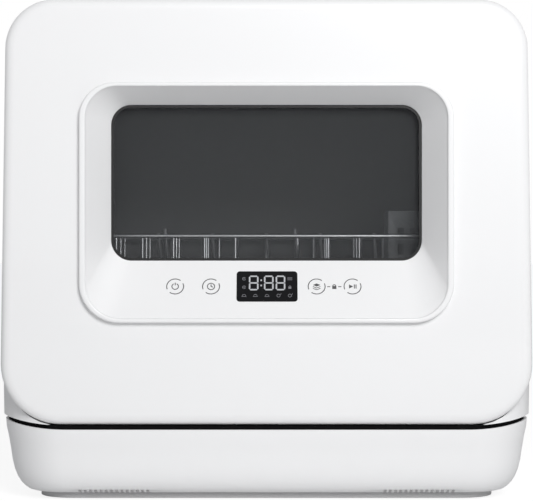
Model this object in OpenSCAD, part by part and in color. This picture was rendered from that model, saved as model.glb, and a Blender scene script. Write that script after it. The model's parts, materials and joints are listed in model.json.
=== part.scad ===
// Countertop dishwasher with a drop-down window door, a sliding rack and a built-in water tank.
// Millimetres, +Z up, front towards -Y, origin on the standing surface under the middle of the body.

/* [Body] */
// Width of the cabinet at its waist
cab_w = 446; // [430:1:470]
// Height over everything
cab_h = 416; // [408:1:440]
// Depth from the window lip to the ends of the hose fittings
total_d = 435; // [425:1:460]
// Wall of the outer mouldings
skin = 3; // [2.5:0.1:3.5]
// How much narrower each side is at the shoulders
shoulder_in = 4.2; // [2:0.1:6]
// Radius of the upper outer corners
top_r = 41; // [36:1:46]
// Radius of the front corners in plan
plan_r = 55; // [50:1:60]
// Radius of the base's rear corners in plan
rear_r = 12; // [8:1:20]

/* [Base] */
// Height of the base housing's upper edge in the middle
seam_z = 60.8; // [58:0.2:62]
// Width of the dark seam between base and cabinet
seam_gap = 3.7; // [3:0.1:4.5]
// Rise of the seam at the sides
seam_rise = 7; // [4:0.5:9]
// Height of the plinth under the base
plinth_h = 6.5; // [6:0.5:9]
// How much narrower each side of the plinth is than the cabinet
plinth_in = 31; // [28:1:38]
// Number of vent slots in each group
slots = 14; // [8:1:18]
// Spacing of the vent slots
slot_pitch = 4.35; // [4:0.05:4.6]
// Height of the vent slots above the plinth
slot_rise = 3; // [3:0.5:6]

/* [Door] */
// Thickness of the door's edge
door_t = 35.5; // [34:0.5:38]
// Gap between the door and the cabinet's front
door_gap = 3; // [2.5:0.1:3.5]
// Radius of the door's lower corners
door_low_r = 50; // [44:1:54]
// How far the window lip stands proud
lip_out = 6; // [4:0.5:8]
// Depth of the door hinge behind the door's face
hinge_in = 12; // [11.5:0.5:13]
// Radius of the door hinge pins
pin_r = 3; // [2.5:0.1:3.5]
// Distance of the window lip from the cabinet's side
lip_side = 69; // [63:1:75]
// Width of the window lip and the recess's side slope together
glass_side = 24.4; // [22:0.2:28]
// Lower edge of the glass opening
glass_z0 = 200; // [197:1:204]
// Distance of the glass opening's upper edge below the cabinet's top
glass_top = 86; // [82:1:96]

/* [Tub and rack] */
// Room between the tub and the cabinet's side
tub_side = 37; // [36:0.5:40]
// Room behind the tub, for the water tank
tub_back = 81; // [80:1:87]
// Room between the tub and the cabinet's top
tub_roof = 26.2; // [25.2:0.5:31.2]
// Wall of the tub
tub_t = 2.5; // [2:0.1:3]
// Radius of the heavy rack wires
wire_r = 1.65; // [1.4:0.05:1.8]
// Radius of the rack rollers
roller_r = 8; // [7:0.5:9]
// Radius of the spray arm's sweep
arm_r = 135; // [120:1:137]
// Running clearance of shafts and pins
run = 0.05; // [0.02:0.01:0.09]

/* [Rear fittings] */
// Radius of the water inlet's outer thread
inlet_r = 13.2; // [12:0.1:14]
// Radius of the drain spigot
drain_r = 9; // [8:0.1:10]
// Length of the fittings behind the rear panel
fitting = 14.5; // [12:0.5:16]

/* [Hidden] */
$fn = 64;
e = 0.01;
// Steps on a quarter turn of the moulded corners
q = 9;

// Depth stations, front to back
lip_y = -total_d/2;
face_y = lip_y + lip_out;
door_y = face_y + door_t;
front_y = door_y + door_gap;
back_y = total_d/2 - fitting;

// Heights
cab_z0 = seam_z + seam_gap;
glass_z1 = cab_h - glass_top;
door_z0 = cab_z0 + 0.5;
// sill behind the door's lower edge, under the edge's swing
sill_t = 1.7;
sill_top = door_z0 - 0.8;
hinge_y = face_y + hinge_in;
hinge_z = door_z0 + 33.8;
// half height of the hinge bracket's bar, and radius of its eye
bar_h = 5.5;
eye_r = 8;
waist_z = 115;
// the tub starts above the back of the opened door
tub_z = hinge_z + door_t - hinge_in + 6.5;
tub_y0 = front_y + 5;
tub_y1 = back_y - tub_back;
tub_top = cab_h - tub_roof;
tub_r = 20;

// Half widths of the cabinet at the shoulders, waist and seam, and of the door
cab_hw = cab_w/2;
tub_hw = cab_hw - tub_side;
plinth_hw = cab_hw - plinth_in;
lip_hw = cab_hw - lip_side;
glass_hw = lip_hw - glass_side;
top_hw = cab_hw - shoulder_in;
seam_hw = cab_hw - 2;
door_hw = cab_hw - 3.5;
door_top_hw = door_hw - (shoulder_in - 0.5);
seam_flat = cab_hw - 58;

// Base housing: inset of the wall at each height below the seam
base_in = [[seam_z + seam_rise + 3, 0], [50, 2.8], [29, 5.3], [17, 9], [11, 15], [plinth_h, 24]];

// Vent slots: where each group starts, and the width and reach of a slot
slot_x0 = cab_hw - 125.5;
slot_w = 2.5;
slot_y0 = face_y + 4;
slot_y1 = face_y + 27;

// Window: lip, recess and glass seat
lip_z0 = glass_z0 - 51;
lip_z1 = glass_z1 + 16.5;
lip_r = 29;
lip_t = 5.4;
rec_y0 = lip_y + 1.5;
rec_y1 = lip_y + 27.5;
glass_r = 17;
glass_t = 4;
seat = 9.4;
seat_t = 2;
pane_t = 2.2;
glass_y = rec_y1 + seat_t;
liner_t = 2.5;
liner_y = door_y - 2;
pane_y = liner_y - pane_t;

// The lower slope of the recess, which carries the controls
slope_rise = glass_z0 - (lip_z0 + lip_t - 1.5);
slope_run = rec_y1 - rec_y0;
slope_a = atan(slope_run/slope_rise);
slope_z = lip_z0 + lip_t - 1.5;
disp_w = 50.4;
disp_h = 28.3;
disp_v = 29.5;

// Rack, rollers and rails
rack_z = tub_z + 39;
rack_h = 53;
rack_rim_z = rack_z + rack_h;
wire_pitch = 28;
upright_pitch = 46.5;
upright_lean = 4.3;
rack_y0 = front_y + 36;
rack_y1 = tub_y1 - 17;
rack_hw = tub_hw - 18;
rail_z = rack_z + 22;
rail_t = 1.5;
roller_w = 6;
roller_gap = 0.3;
roller_y = [rack_y0 + 12, rack_y0 + 49];
axle_r = 2.5;
tine_h = 55;

// Spray arm, sump and pumps
arm_y = (tub_y0 + tub_y1)/2;
arm_z = tub_z + 14;
post_r = 8;
sump_x = cab_hw - 128;
sump_y = tub_y0 + 73;
sump_r = 40;
cup_r = 26;
floor_z = plinth_h + 2.5;
pump_x = 10;
pump_y = sump_y - 10;
pump_z = 58;
drain_x = cab_hw - 73;
drain_y = sump_y + 35;
drain_z = 50;

// Rear fittings and tank; each fitting has an undercut at its root
fit_z = 94;
root_l = 0.5;
root_in = 0.6;
inlet_x = -60;
spigot_x = sump_x;
cord_x = 73 - cab_hw;
panel_t = 3;
tank_y0 = tub_y1 + tub_t + 2.5;
tank_y1 = back_y - panel_t - 0.3;
tank_z0 = 165;
tank_z1 = tub_top + 2;
tank_hw = tub_hw - 8;
// outlet of the tank
outlet_x = 60;
outlet_y = back_y - 43;

// Fill lid in the cabinet's top
lid_hw = 48;
lid_t = 5;
lid_y0 = back_y - 62;
lid_y1 = back_y - 16;
lid_gap = 0.3;
lid_back_gap = 0.9;
lid_pin_r = 1;
neck_y = lid_y0 + 21;
neck_r = 20;

// Fan beside the tub
fan_y = arm_y + 63;
fan_z = tub_top - 69.8;
fan_x0 = tub_hw + tub_t + 0.3;
fan_w = 24;

// Screws: of the rear panel as [x, z], and of the door liner
screw_r = 1.6;
head_r = 3.2;
panel_at = [[cab_hw - 29, 90], [cab_hw - 29, 240], [cab_hw - 33, cab_h - 36]];
screw_at = [[cab_hw - 17, 150], [cab_hw - 16, 260], [cab_hw - 17, cab_h - 54]];

// Points of an arc
function arc(x, y, r, a0, a1, n = q) =
    [for (i = [0:n]) let (a = a0 + (a1 - a0)*i/n) [x + r*cos(a), y + r*sin(a)]];

// Rounded rectangle between heights y0 and y1, lower radius r0 and upper radius r1
function plate(w, y0, y1, r0, r1, n = q) = concat(
    arc(w - r1, y1 - r1, r1, 0, 90, n),
    arc(r1 - w, y1 - r1, r1, 90, 180, n),
    arc(r0 - w, y0 + r0, r0, 180, 270, n),
    arc(w - r0, y0 + r0, r0, 270, 360, n));

// Front outline of the door, drawn in by d
function door_line(d) = concat(
    arc(door_top_hw - top_r, cab_h - top_r, top_r - d, 0, 90),
    arc(top_r - door_top_hw, cab_h - top_r, top_r - d, 90, 180),
    arc(door_low_r - door_hw, door_z0 + door_low_r, door_low_r - d, 180, 270),
    arc(door_hw - door_low_r, door_z0 + door_low_r, door_low_r - d, 270, 360));

// Front outline of the cabinet above height z, drawn in by d
function cab_line(d, z) = concat(
    arc(top_hw - top_r, cab_h - top_r, top_r - d, 0, 90),
    arc(top_r - top_hw, cab_h - top_r, top_r - d, 90, 180),
    [[d - cab_hw, waist_z], [d - seam_hw - (z - seam_z)*2/(waist_z - seam_z), z],
     [seam_hw + (z - seam_z)*2/(waist_z - seam_z) - d, z], [cab_hw - d, waist_z]]);

// Lift of the seam at a distance x from the middle
function seam_lift(x) =
    abs(x) < seam_flat ? 0 : seam_rise*pow((abs(x) - seam_flat)/(cab_hw - seam_flat), 2);
function seam_line(z) = [for (x = [-cab_hw - 8:4:cab_hw + 8]) [x, z + seam_lift(x)]];

// Extrude a front outline from y0 to y1
module deep(y0, y1) {
    translate([0, y1, 0]) rotate([90, 0, 0]) linear_extrude(y1 - y0) children();
}
// Rod along Y and rod along X
module rod_y(x, z, r, y0, y1) {
    translate([x, y0, z]) rotate([-90, 0, 0]) cylinder(r = r, h = y1 - y0);
}
module rod_x(y, z, r, x0, x1) {
    translate([x0, y, z]) rotate([0, 90, 0]) cylinder(r = r, h = x1 - x0);
}
module rod_z(x, y, r, z0, z1) {
    translate([x, y, z0]) cylinder(r = r, h = z1 - z0);
}
// Block between two corners
module block(a, b) {
    translate(a) cube(b - a);
}
module both_sides() {
    children();
    mirror([1, 0, 0]) children();
}
// Everything below the seam line raised to height z
module below_seam(z) {
    deep(-300, 300) polygon(concat([[-cab_hw - 8, -20]], seam_line(z), [[cab_hw + 8, -20]]));
}
// Straight wire between two points
module wire(a, b, r) {
    v = b - a;
    translate(a) rotate([0, acos(v[2]/norm(v)), atan2(v[1], v[0])]) cylinder(r = r, h = norm(v), $fn = 16);
}
// Hose through chosen points, eased at the bends, with eight sides
function hose_pt(p, t) =
    let (i = min(floor(t), len(p) - 2), u = t - i,
         a = p[max(i - 1, 0)], b = p[i], c = p[i + 1], d = p[min(i + 2, len(p) - 1)])
    0.5*((2*b) + (c - a)*u + (2*a - 5*b + 4*c - d)*u*u + (3*b - a - 3*c + d)*u*u*u);
function unit(v) = v/norm(v);
function hose_frames(p, n, i = 0, up = [0.31, 0.17, 0.94]) =
    i > n ? [] :
    let (t = i*(len(p) - 1)/n, d = 0.01,
         v = unit(hose_pt(p, min(t + d, len(p) - 1)) - hose_pt(p, max(t - d, 0))),
         s = unit(up - (up*v)*v))
    concat([[hose_pt(p, t), s, cross(v, s)]], hose_frames(p, n, i + 1, s));
module hose(p, r, n = 18) {
    f = hose_frames(p, n, 0, abs(unit(p[1] - p[0])[2]) > 0.8 ? [1, 0.2, 0] : [0.1, 0.2, 1]);
    loft([for (k = f) [for (a = [0:45:315]) k[0] + r*(k[1]*cos(a) + k[2]*sin(a))]]);
}
// Solid through rings of equally many points, bottom to top or back to front
module loft(rings) {
    n = len(rings) - 1;
    m = len(rings[0]);
    polyhedron([for (r = rings) each r], concat(
        [for (i = [0:n - 1]) for (j = [0:m - 1]) each [
            [i*m + j, (i + 1)*m + j, (i + 1)*m + (j + 1)%m],
            [i*m + j, (i + 1)*m + (j + 1)%m, i*m + (j + 1)%m]]],
        [[for (j = [0:m - 1]) j]], [[for (j = [m - 1:-1:0]) n*m + j]]));
}
// Ring of a front outline at depth y, and of a plan outline at height z
function front_ring(line, y) = [for (p = line) [p[0], y, p[1]]];
function plan_ring(line, z) = [for (p = line) [p[0], p[1], z]];

// ---------------------------------------------------------------- outer mouldings

// Plan section of the cabinet, drawn in by d in front and at the sides, square behind
function plan(d) = concat(
    arc(cab_hw - plan_r, face_y + plan_r, plan_r - d, 270, 360),
    [[cab_hw - d, back_y], [d - cab_hw, back_y]],
    arc(plan_r - cab_hw, face_y + plan_r, plan_r - d, 180, 270));
// Plan section of the base, drawn in by d
function base_plan(d) = plate(cab_hw - d, face_y + d - 2, back_y - d + 2, plan_r - d, rear_r);

// The room that the door needs in front of the cabinet; its lower edge turns inside its own outline
module door_room() {
    deep(-300, front_y) polygon(door_line(-1));
    block([-300, -300, waist_z - 9], [300, front_y, 500]);
}

module cabinet_shell() {
    color("white") difference() {
        union() {
            difference() {
                intersection() {
                    deep(-300, back_y) polygon(cab_line(0, 60));
                    linear_extrude(500) polygon(plan(0));
                }
                deep(front_y, 400) polygon(cab_line(skin, 50));
            }
            // frame round the fill opening
            block([-lid_hw - 8, lid_y0 - 8, cab_h - 12], [lid_hw + 8, lid_y1 + 10.5, cab_h - 1]);
        }
        door_room();
        below_seam(cab_z0);
        block([-lid_hw - lid_gap, lid_y0 - lid_gap, cab_h - lid_t - 3],
              [lid_hw + lid_gap, lid_y1 + lid_t/2 + lid_back_gap, 500]);
        rod_z(0, neck_y, neck_r + 2.3, cab_h - 30, 500);
        rod_x(lid_y1, cab_h - lid_t/2, lid_pin_r, -lid_hw - 5, lid_hw + 5);
    }
}

// Places of the posts that carry the tub, and of the feet
post_y = [tub_y0 + 33, tub_y1 - 7];
foot_x = plinth_hw - 32;
foot_y = [face_y + 63, back_y - 48];
foot_h = 2.5;
foot_r = 12;
module base_housing() {
    last = len(base_in) - 1;
    module bowl(d) {
        loft([for (k = [last:-1:0])
            plan_ring(base_plan(base_in[k][1] + 2 + d), base_in[k][0] + (k == last ? d : 0))]);
    }
    color("gainsboro") union() {
        difference() {
            intersection() {
                bowl(0);
                below_seam(seam_z);
            }
            difference() {
                bowl(2.5);
                // posts that carry the tub
                both_sides() for (y = post_y) rod_z(tub_hw - 6, y, 9, 0, 100);
            }
            // vent slots along the lower front edge
            both_sides() for (i = [0:slots - 1])
                block([slot_x0 + i*slot_pitch, slot_y0, 0],
                      [slot_x0 + slot_w + i*slot_pitch, slot_y1, plinth_h + slot_rise]);
        }
        both_sides() for (y = post_y) rod_z(tub_hw - 6, y, 9, plinth_h + 1, tub_z - tub_t);
    }
}

module base_plate() {
    color("darkgray") difference() {
        translate([0, 0, 1]) linear_extrude(plinth_h - 1)
            polygon(plate(plinth_hw, face_y + 31, back_y - 20, 30, 20));
        both_sides() for (y = foot_y) rod_z(foot_x, y, foot_r + 0.2, 0, foot_h);
    }
}

module rubber_feet() {
    color("dimgray") both_sides() for (y = foot_y) rod_z(foot_x, y, foot_r, 0, foot_h);
}

module seam_ring() {
    color("black") intersection() {
        translate([0, 0, seam_z - 4.8]) linear_extrude(seam_rise + 14) difference() {
            polygon(base_plan(7));
            polygon(base_plan(10.5));
        }
        below_seam(cab_z0 - 0.5);
    }
}

module front_frame() {
    color("whitesmoke") difference() {
        deep(front_y, front_y + 3) intersection() {
            polygon(cab_line(skin + 0.3, 60));
            translate([-300, tub_z - 4.5]) square([600, 400]);
        }
        deep(-300, 300) polygon(plate(tub_hw, tub_z, tub_top, tub_r, tub_r));
        block([-20, -300, tub_top + 7.5], [20, 300, tub_top + 16]);
    }
}

// The sill of the apron stays inside the seam ring's front corners
module front_apron() {
    hw = cab_hw - 16;
    color("silver") union() {
        block([-hw, front_y + 21, sill_top - sill_t], [hw, front_y + 23.5, tub_z - tub_t]);
        block([-hw, front_y - 1, sill_top - sill_t], [hw, front_y + 23.5, sill_top]);
    }
}

module rear_panel() {
    color("lightgray") difference() {
        deep(back_y - panel_t, back_y) polygon(cab_line(skin + 0.2, 60));
        below_seam(cab_z0 + 0.2);
        rod_y(inlet_x, fit_z, inlet_r + 0.5, 0, 300);
        rod_y(spigot_x, fit_z, drain_r + 0.5, 0, 300);
        rod_y(cord_x, fit_z, 8.3, 0, 300);
        for (i = [0:7])
            block([cab_hw - 73, 0, cab_h - 166 + i*14], [cab_hw - 27, 300, cab_h - 161 + i*14]);
        both_sides() for (p = panel_at) rod_y(p[0], p[1], screw_r, 0, 300);
    }
}

module panel_screws() {
    color("gray") both_sides() for (p = panel_at) {
        rod_y(p[0], p[1], screw_r, back_y - 12, back_y + 1);
        rod_y(p[0], p[1], head_r, back_y, back_y + 1.8);
    }
}

// ---------------------------------------------------------------- tub and what hangs on it

module tub() {
    color("lightsteelblue") difference() {
        union() {
            deep(tub_y0, tub_y1 + tub_t)
                polygon(plate(tub_hw + tub_t, tub_z - tub_t, tub_top + tub_t, tub_r + tub_t, tub_r + tub_t));
            // flange behind the front frame
            deep(front_y + 3, tub_y0) polygon(plate(tub_hw + 8, tub_z - tub_t, tub_top + 6, tub_r, tub_r + 6));
        }
        deep(-300, tub_y1) polygon(plate(tub_hw, tub_z, tub_top, tub_r, tub_r));
        rod_z(sump_x, sump_y, sump_r, 0, tub_z + 1);
        rod_z(0, arm_y, post_r + 6, 0, tub_z + 1);
        rod_x(fan_y, fan_z - 20, 9, 0, 300);
        both_sides() for (y = roller_y) rod_x(y, rail_z, axle_r, tub_hw - 1, tub_hw + tub_t + 1);
    }
}

module tub_seal() {
    color("dimgray") deep(door_y + 0.8, front_y) difference() {
        polygon(plate(tub_hw + 4.2, tub_z - 4.2, tub_top + 4.2, tub_r + 4, tub_r + 4));
        polygon(plate(tub_hw + 0.5, tub_z - 0.5, tub_top + 0.5, tub_r, tub_r));
    }
}

module roller_axles() {
    color("silver") both_sides() for (y = roller_y) {
        rod_x(y, rail_z, axle_r, tub_hw - 9.5, tub_hw + tub_t + 1.5);
        rod_x(y, rail_z, axle_r + 1.5, tub_hw - 10.3, tub_hw - 9.3);
        rod_x(y, rail_z, axle_r + 1.5, tub_hw - 2.7, tub_hw);
    }
}

// One rack roller; side is 1 on the right and -1 on the left
module roller(side, k) {
    x = side*(tub_hw - 6);
    color("white") difference() {
        rod_x(roller_y[k], rail_z, roller_r, x - roller_w/2, x + roller_w/2);
        rod_x(roller_y[k], rail_z, axle_r + run, x - roller_w, x + roller_w);
    }
}

module sump() {
    color("gray") difference() {
        union() {
            rod_z(sump_x, sump_y, sump_r + 10, tub_z - tub_t - 2, tub_z - tub_t);
            rod_z(sump_x, sump_y, sump_r + 3, tub_z - 47, tub_z - tub_t);
            // outlets to the wash pump, the drain pump and from the tank
            rod_z(sump_x, sump_y, 12, tub_z - 61, tub_z - 45);
            rod_x(sump_y, tub_z - 37, 8, sump_x + sump_r, sump_x + sump_r + 13);
            rod_y(sump_x, tub_z - 20, 8, sump_y + sump_r, sump_y + sump_r + 13);
        }
        rod_z(sump_x, sump_y, sump_r, tub_z - 44, tub_z + 1);
        rod_z(sump_x, sump_y, 9, 0, tub_z);
        rod_x(sump_y, tub_z - 37, 5.5, sump_x, sump_x + sump_r + 20);
        rod_y(sump_x, tub_z - 20, 5.5, sump_y, sump_y + sump_r + 20);
    }
}

module filter_plate() {
    color("silver") difference() {
        rod_z(sump_x, sump_y, sump_r - 0.2, tub_z - 2, tub_z - 0.4);
        rod_z(sump_x, sump_y, cup_r + 0.5, 0, tub_z + 1);
        for (i = [0:23]) translate([sump_x, sump_y, 0]) rotate(i*15) rod_z(33.5, 0, 2, 0, tub_z + 1);
    }
}

module filter_cup() {
    color("lightgray") difference() {
        union() {
            rod_z(sump_x, sump_y, cup_r, tub_z - 40, tub_z + 1);
            rod_z(sump_x, sump_y, cup_r + 3, tub_z - 0.1, tub_z + 2);
            block([sump_x - cup_r + 4, sump_y - 2, tub_z - 2], [sump_x + cup_r - 4, sump_y + 2, tub_z + 8]);
        }
        difference() {
            rod_z(sump_x, sump_y, cup_r - 1.6, tub_z - 38, tub_z + 3);
            block([sump_x - cup_r, sump_y - 2, tub_z - 2], [sump_x + cup_r, sump_y + 2, tub_z + 8]);
        }
        for (i = [0:15]) translate([sump_x, sump_y, 0]) rotate(i*22.5 + 11)
            block([cup_r - 3, -2.5, tub_z - 34], [cup_r + 3, 2.5, tub_z - 10]);
    }
}

module spray_post() {
    color("gainsboro") difference() {
        union() {
            rod_z(0, arm_y, 14, tub_z - 27, tub_z - tub_t);
            rod_z(0, arm_y, post_r + 5.7, tub_z - tub_t - 1, arm_z - 2.3);
            rod_z(0, arm_y, post_r, tub_z - 10, arm_z + 15);
            rod_z(0, arm_y, post_r + 4, arm_z + 14.3, arm_z + 17);
        }
        rod_z(0, arm_y, post_r - 3, tub_z - 24, arm_z + 10);
        rotate_about(0, arm_y, 33) rod_x(0, tub_z - 17, 5.5, -20, 0);
        // ports that feed the arm
        for (a = [0, 90]) rotate_about(0, arm_y, a) rod_x(0, arm_z + 5, 2, -10, 10);
    }
}
// Turn children, drawn round the origin, by a about Z and set them at x, y
module rotate_about(x, y, a) {
    translate([x, y, 0]) rotate(a) children();
}

module spray_arm() {
    color("silver") difference() {
        union() {
            rod_z(0, arm_y, 20, arm_z - 2, arm_z + 14);
            translate([0, arm_y, arm_z]) linear_extrude(10) for (a = [0, 180]) rotate(a) {
                polygon([[0, -19], [arm_r - 13, -13], [arm_r - 13, 13], [0, 19]]);
                translate([arm_r - 13, 0]) circle(r = 13);
            }
        }
        rod_z(0, arm_y, post_r + run, 0, 300);
        // nozzles
        for (a = [0, 180], r = [42, 66, 90, 114]) rotate_about(0, arm_y, a) rod_z(r, r/20 - 4, 1.5, arm_z + 4, 300);
    }
}

// Round pump with its axis along Y: cavity r, from y0, length l, foot on the base floor
module pump_case(x, y, z, r, l, w, shaft, inlet, out_x, out_l, out_r) {
    difference() {
        union() {
            rod_y(x, z, r + w, y, y + l);
            rod_y(x, z, inlet, y - 12, y + 1);
            rod_z(x + out_x, y + l/2, out_r, z, z + out_l);
            block([x - r*0.7, y + 3, floor_z], [x + r*0.7, y + l - 3, z - r*0.8]);
        }
        rod_y(x, z, r, y + 3, y + l - 3);
        rod_y(x, z, inlet - 3, y - 20, y + 5);
        rod_z(x + out_x, y + l/2, out_r - 2.5, z, z + out_l + 1);
        rod_y(x, z, shaft + run, y, y + l + 1);
    }
}
// Motor behind a pump
module pump_motor(x, y, z, r, l, shaft) {
    difference() {
        union() {
            rod_y(x, z, r, y, y + l);
            block([x - r*0.6, y + 8, floor_z], [x + r*0.6, y + l - 8, z]);
        }
        rod_y(x, z, shaft + run, y - 1, y + l*0.6 + run);
    }
}
// Impeller: disc with six vanes on a shaft
module impeller(x, y, z, r, l, shaft, shaft_l) {
    rod_y(x, z, shaft, y, y + shaft_l);
    rod_y(x, z, r, y + l - 3, y + l);
    intersection() {
        rod_y(x, z, r, y, y + l - 2);
        translate([x, y, z]) for (a = [0:60:300]) rotate([0, a, 0])
            block([-1, 1, shaft - 1], [1, l - 2, r + 2]);
    }
}

module wash_pump_housing() {
    color("gray") pump_case(pump_x, pump_y, pump_z, 31, 30, 5, 4, 13, 22, 40, 10);
}
module wash_pump_motor() {
    color("dimgray") pump_motor(pump_x, pump_y + 30, pump_z, 32, 75, 4);
}
module wash_impeller() {
    color("white") impeller(pump_x, pump_y + 5, pump_z, 27, 18, 4, 60);
}
module drain_pump_housing() {
    color("gray") pump_case(drain_x, drain_y, drain_z, 19, 25, 3, 2.5, 9, 12, 34, 7);
}
module drain_pump_motor() {
    color("dimgray") pump_motor(drain_x, drain_y + 25, drain_z, 20, 45, 2.5);
}
module drain_impeller() {
    color("white") impeller(drain_x, drain_y + 4.5, drain_z, 15, 15, 2.5, 40);
}

// Flow heater: middle, length, radius, and how far its stubs sit from the middle
heater_x = -85;
heater_y = sump_y + 5;
heater_z = 60;
heater_l = 94;
heater_r = 17;
heater_stub = 35;
module flow_heater() {
    color("silver") union() {
        rod_x(heater_y, heater_z, heater_r, heater_x - heater_l/2, heater_x + heater_l/2);
        for (s = [-1, 1]) {
            rod_z(heater_x + s*heater_stub, heater_y, 9, heater_z, heater_z + 30);
            translate([heater_x + s*(heater_stub - 8), heater_y, floor_z])
                block([-3, -14, 0], [3, 14, heater_z - floor_z]);
        }
    }
}

// Hose routes, as points chosen by eye; the first and last two points lie on the stubs' axes
hose_top = tub_z - 17;
stub_end = sump_r + 13.1;
pump_out = [pump_x + 22, pump_y + 15];
heat_in = heater_x + heater_stub;
heat_out = heater_x - heater_stub;
feed = [[pump_out[0], pump_out[1], 98.1], [pump_out[0], pump_out[1], 104], [26, pump_out[1], 109],
        [0, heater_y, 110], [heat_in + 14, heater_y, 110], [heat_in + 2, heater_y, 106],
        [heat_in, heater_y, 98], [heat_in, heater_y, heater_z + 30.1]];
rise = [[heat_out, heater_y, heater_z + 30.1], [heat_out, heater_y, 98], [heat_out + 6, heater_y + 4, 107],
        [heat_out + 28, heater_y + 14, hose_top], [-50, arm_y - 30, hose_top],
        [-26, arm_y - 17, hose_top], [-11.8, arm_y - 7.7, hose_top]];
suck = [[sump_x, sump_y, tub_z - 61.1], [sump_x, sump_y, tub_z - 70], [sump_x - 11, sump_y - 19, 48],
        [pump_x + 52, pump_y - 24, 46], [pump_x + 24, pump_y - 29, 51], [pump_x + 5, pump_y - 25, 57],
        [pump_x, pump_y - 20, pump_z], [pump_x, pump_y - 12.1, pump_z]];
empty = [[sump_x + stub_end, sump_y, tub_z - 37], [sump_x + stub_end + 9, sump_y, tub_z - 37],
         [drain_x + 13, sump_y + 2, 78], [drain_x + 12, sump_y + 5, 60], [drain_x + 4, sump_y + 11, 51],
         [drain_x, drain_y - 20, drain_z], [drain_x, drain_y - 12.1, drain_z]];
drain = [[drain_x + 12, drain_y + 12.5, 84.1], [drain_x + 12, drain_y + 12.5, 96],
         [drain_x + 13, drain_y + 24, 106], [drain_x + 13, drain_y + 50, 108],
         [drain_x + 10, fan_y + 20, 108], [drain_x + 6, back_y - 88, 106], [drain_x - 10, back_y - 57, 100],
         [spigot_x + 17, back_y - 41, 95], [spigot_x, back_y - 31, fit_z], [spigot_x, back_y - 19.1, fit_z]];
fill = [[inlet_x, back_y - 28, 111.1], [inlet_x, back_y - 28, 130], [inlet_x, back_y - 35, 150],
        [inlet_x, back_y - 35, tank_z0 - 6.1]];
feed_tank = [[outlet_x, outlet_y, tank_z0 - 6.1], [outlet_x, outlet_y, 140],
             [outlet_x + 1, outlet_y - 8, 120], [outlet_x + 4, outlet_y - 30, 110],
             [sump_x - 21, fan_y + 20, 108], [sump_x - 7, sump_y + 95, 108],
             [sump_x, sump_y + 67, tub_z - 20], [sump_x, sump_y + stub_end, tub_z - 20]];

module hoses() {
    color("slategray") {
        hose(feed, 9);
        hose(rise, 8);
        hose(suck, 10.5);
        hose(empty, 7);
        hose(drain, 7);
        hose(fill, 6);
        hose(feed_tank, 7);
    }
}

module water_tank() {
    color("lightblue") difference() {
        union() {
            block([-tank_hw, tank_y0, tank_z0], [tank_hw, tank_y1, tank_z1]);
            rod_z(0, neck_y, neck_r + 2, tank_z1 - 3, cab_h - lid_t - 2);
            rod_z(inlet_x, back_y - 35, 7, tank_z0 - 6, tank_z0 + 3);
            rod_z(outlet_x, outlet_y, 8, tank_z0 - 6, tank_z0 + 3);
        }
        block([2 - tank_hw, tank_y0 + 2, tank_z0 + 2], [tank_hw - 2, tank_y1 - 2, tank_z1 - 2]);
        rod_z(0, neck_y, neck_r, tank_z1 - 4, 500);
        rod_z(inlet_x, back_y - 35, 5, 0, tank_z0 + 5);
        rod_z(outlet_x, outlet_y, 5.5, 0, tank_z0 + 5);
    }
}

// Round fitting from y0 to the very back, with its undercut behind the rear panel
module fitting_rod(x, r, y0) {
    rod_y(x, fit_z, r, y0, back_y);
    rod_y(x, fit_z, r - root_in, y0, back_y + root_l + 1);
    rod_y(x, fit_z, r, back_y + root_l, total_d/2);
}

module inlet_valve() {
    color("gainsboro") difference() {
        union() {
            block([inlet_x - 20, back_y - 43, fit_z - 17], [inlet_x + 20, back_y - panel_t, fit_z + 16]);
            fitting_rod(inlet_x, inlet_r, back_y - panel_t - 1);
            rod_z(inlet_x, back_y - 28, 6, fit_z + 15, fit_z + 17);
        }
        rod_y(inlet_x, fit_z, inlet_r - 4, back_y - 20, 300);
    }
}

module drain_spigot() {
    color("gray") difference() {
        union() {
            fitting_rod(spigot_x, drain_r, back_y - 19);
            rod_y(spigot_x, fit_z, drain_r + 5, back_y - panel_t - 2, back_y - panel_t);
        }
        rod_y(spigot_x, fit_z, drain_r - 2.5, back_y - 18, 300);
    }
}

module cord_gland() {
    color("black") difference() {
        union() {
            rod_y(cord_x, fit_z, 8, back_y - panel_t - 4, back_y);
            rod_y(cord_x, fit_z, 11, back_y, back_y + 4);
            rod_y(cord_x, fit_z, 11, back_y - panel_t - 5, back_y - panel_t);
        }
        rod_y(cord_x, fit_z, 4.2, 0, 300);
    }
}

module fan_housing() {
    color("dimgray") difference() {
        rod_x(fan_y, fan_z, 38, fan_x0, fan_x0 + fan_w);
        rod_x(fan_y, fan_z, 34, fan_x0 + 2, fan_x0 + fan_w - 2);
        // inlet outside, outlet towards the tub
        difference() {
            rod_x(fan_y, fan_z, 26, fan_x0 + fan_w - 3, fan_x0 + fan_w + 1);
            for (a = [0:60:300]) translate([0, fan_y, fan_z]) rotate([a, 0, 0])
                block([fan_x0, -1.5, 0], [fan_x0 + fan_w + 2, 1.5, 30]);
            rod_x(fan_y, fan_z, 7, fan_x0, fan_x0 + fan_w + 2);
        }
        rod_x(fan_y, fan_z - 20, 9, fan_x0 - 1, fan_x0 + 3);
        rod_x(fan_y, fan_z, 2 + run, fan_x0 + fan_w - 5, fan_x0 + fan_w + 1);
    }
}

module fan_impeller() {
    color("white") union() {
        rod_x(fan_y, fan_z, 2, fan_x0 + 5, fan_x0 + fan_w - 0.5);
        rod_x(fan_y, fan_z, 10, fan_x0 + 5, fan_x0 + fan_w - 4);
        rod_x(fan_y, fan_z, 31, fan_x0 + 5, fan_x0 + 7);
        for (a = [0:30:330]) translate([0, fan_y, fan_z]) rotate([a, 0, 0])
            block([fan_x0 + 6, -0.8, 9], [fan_x0 + fan_w - 5, 0.8, 30.5]);
    }
}

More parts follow.
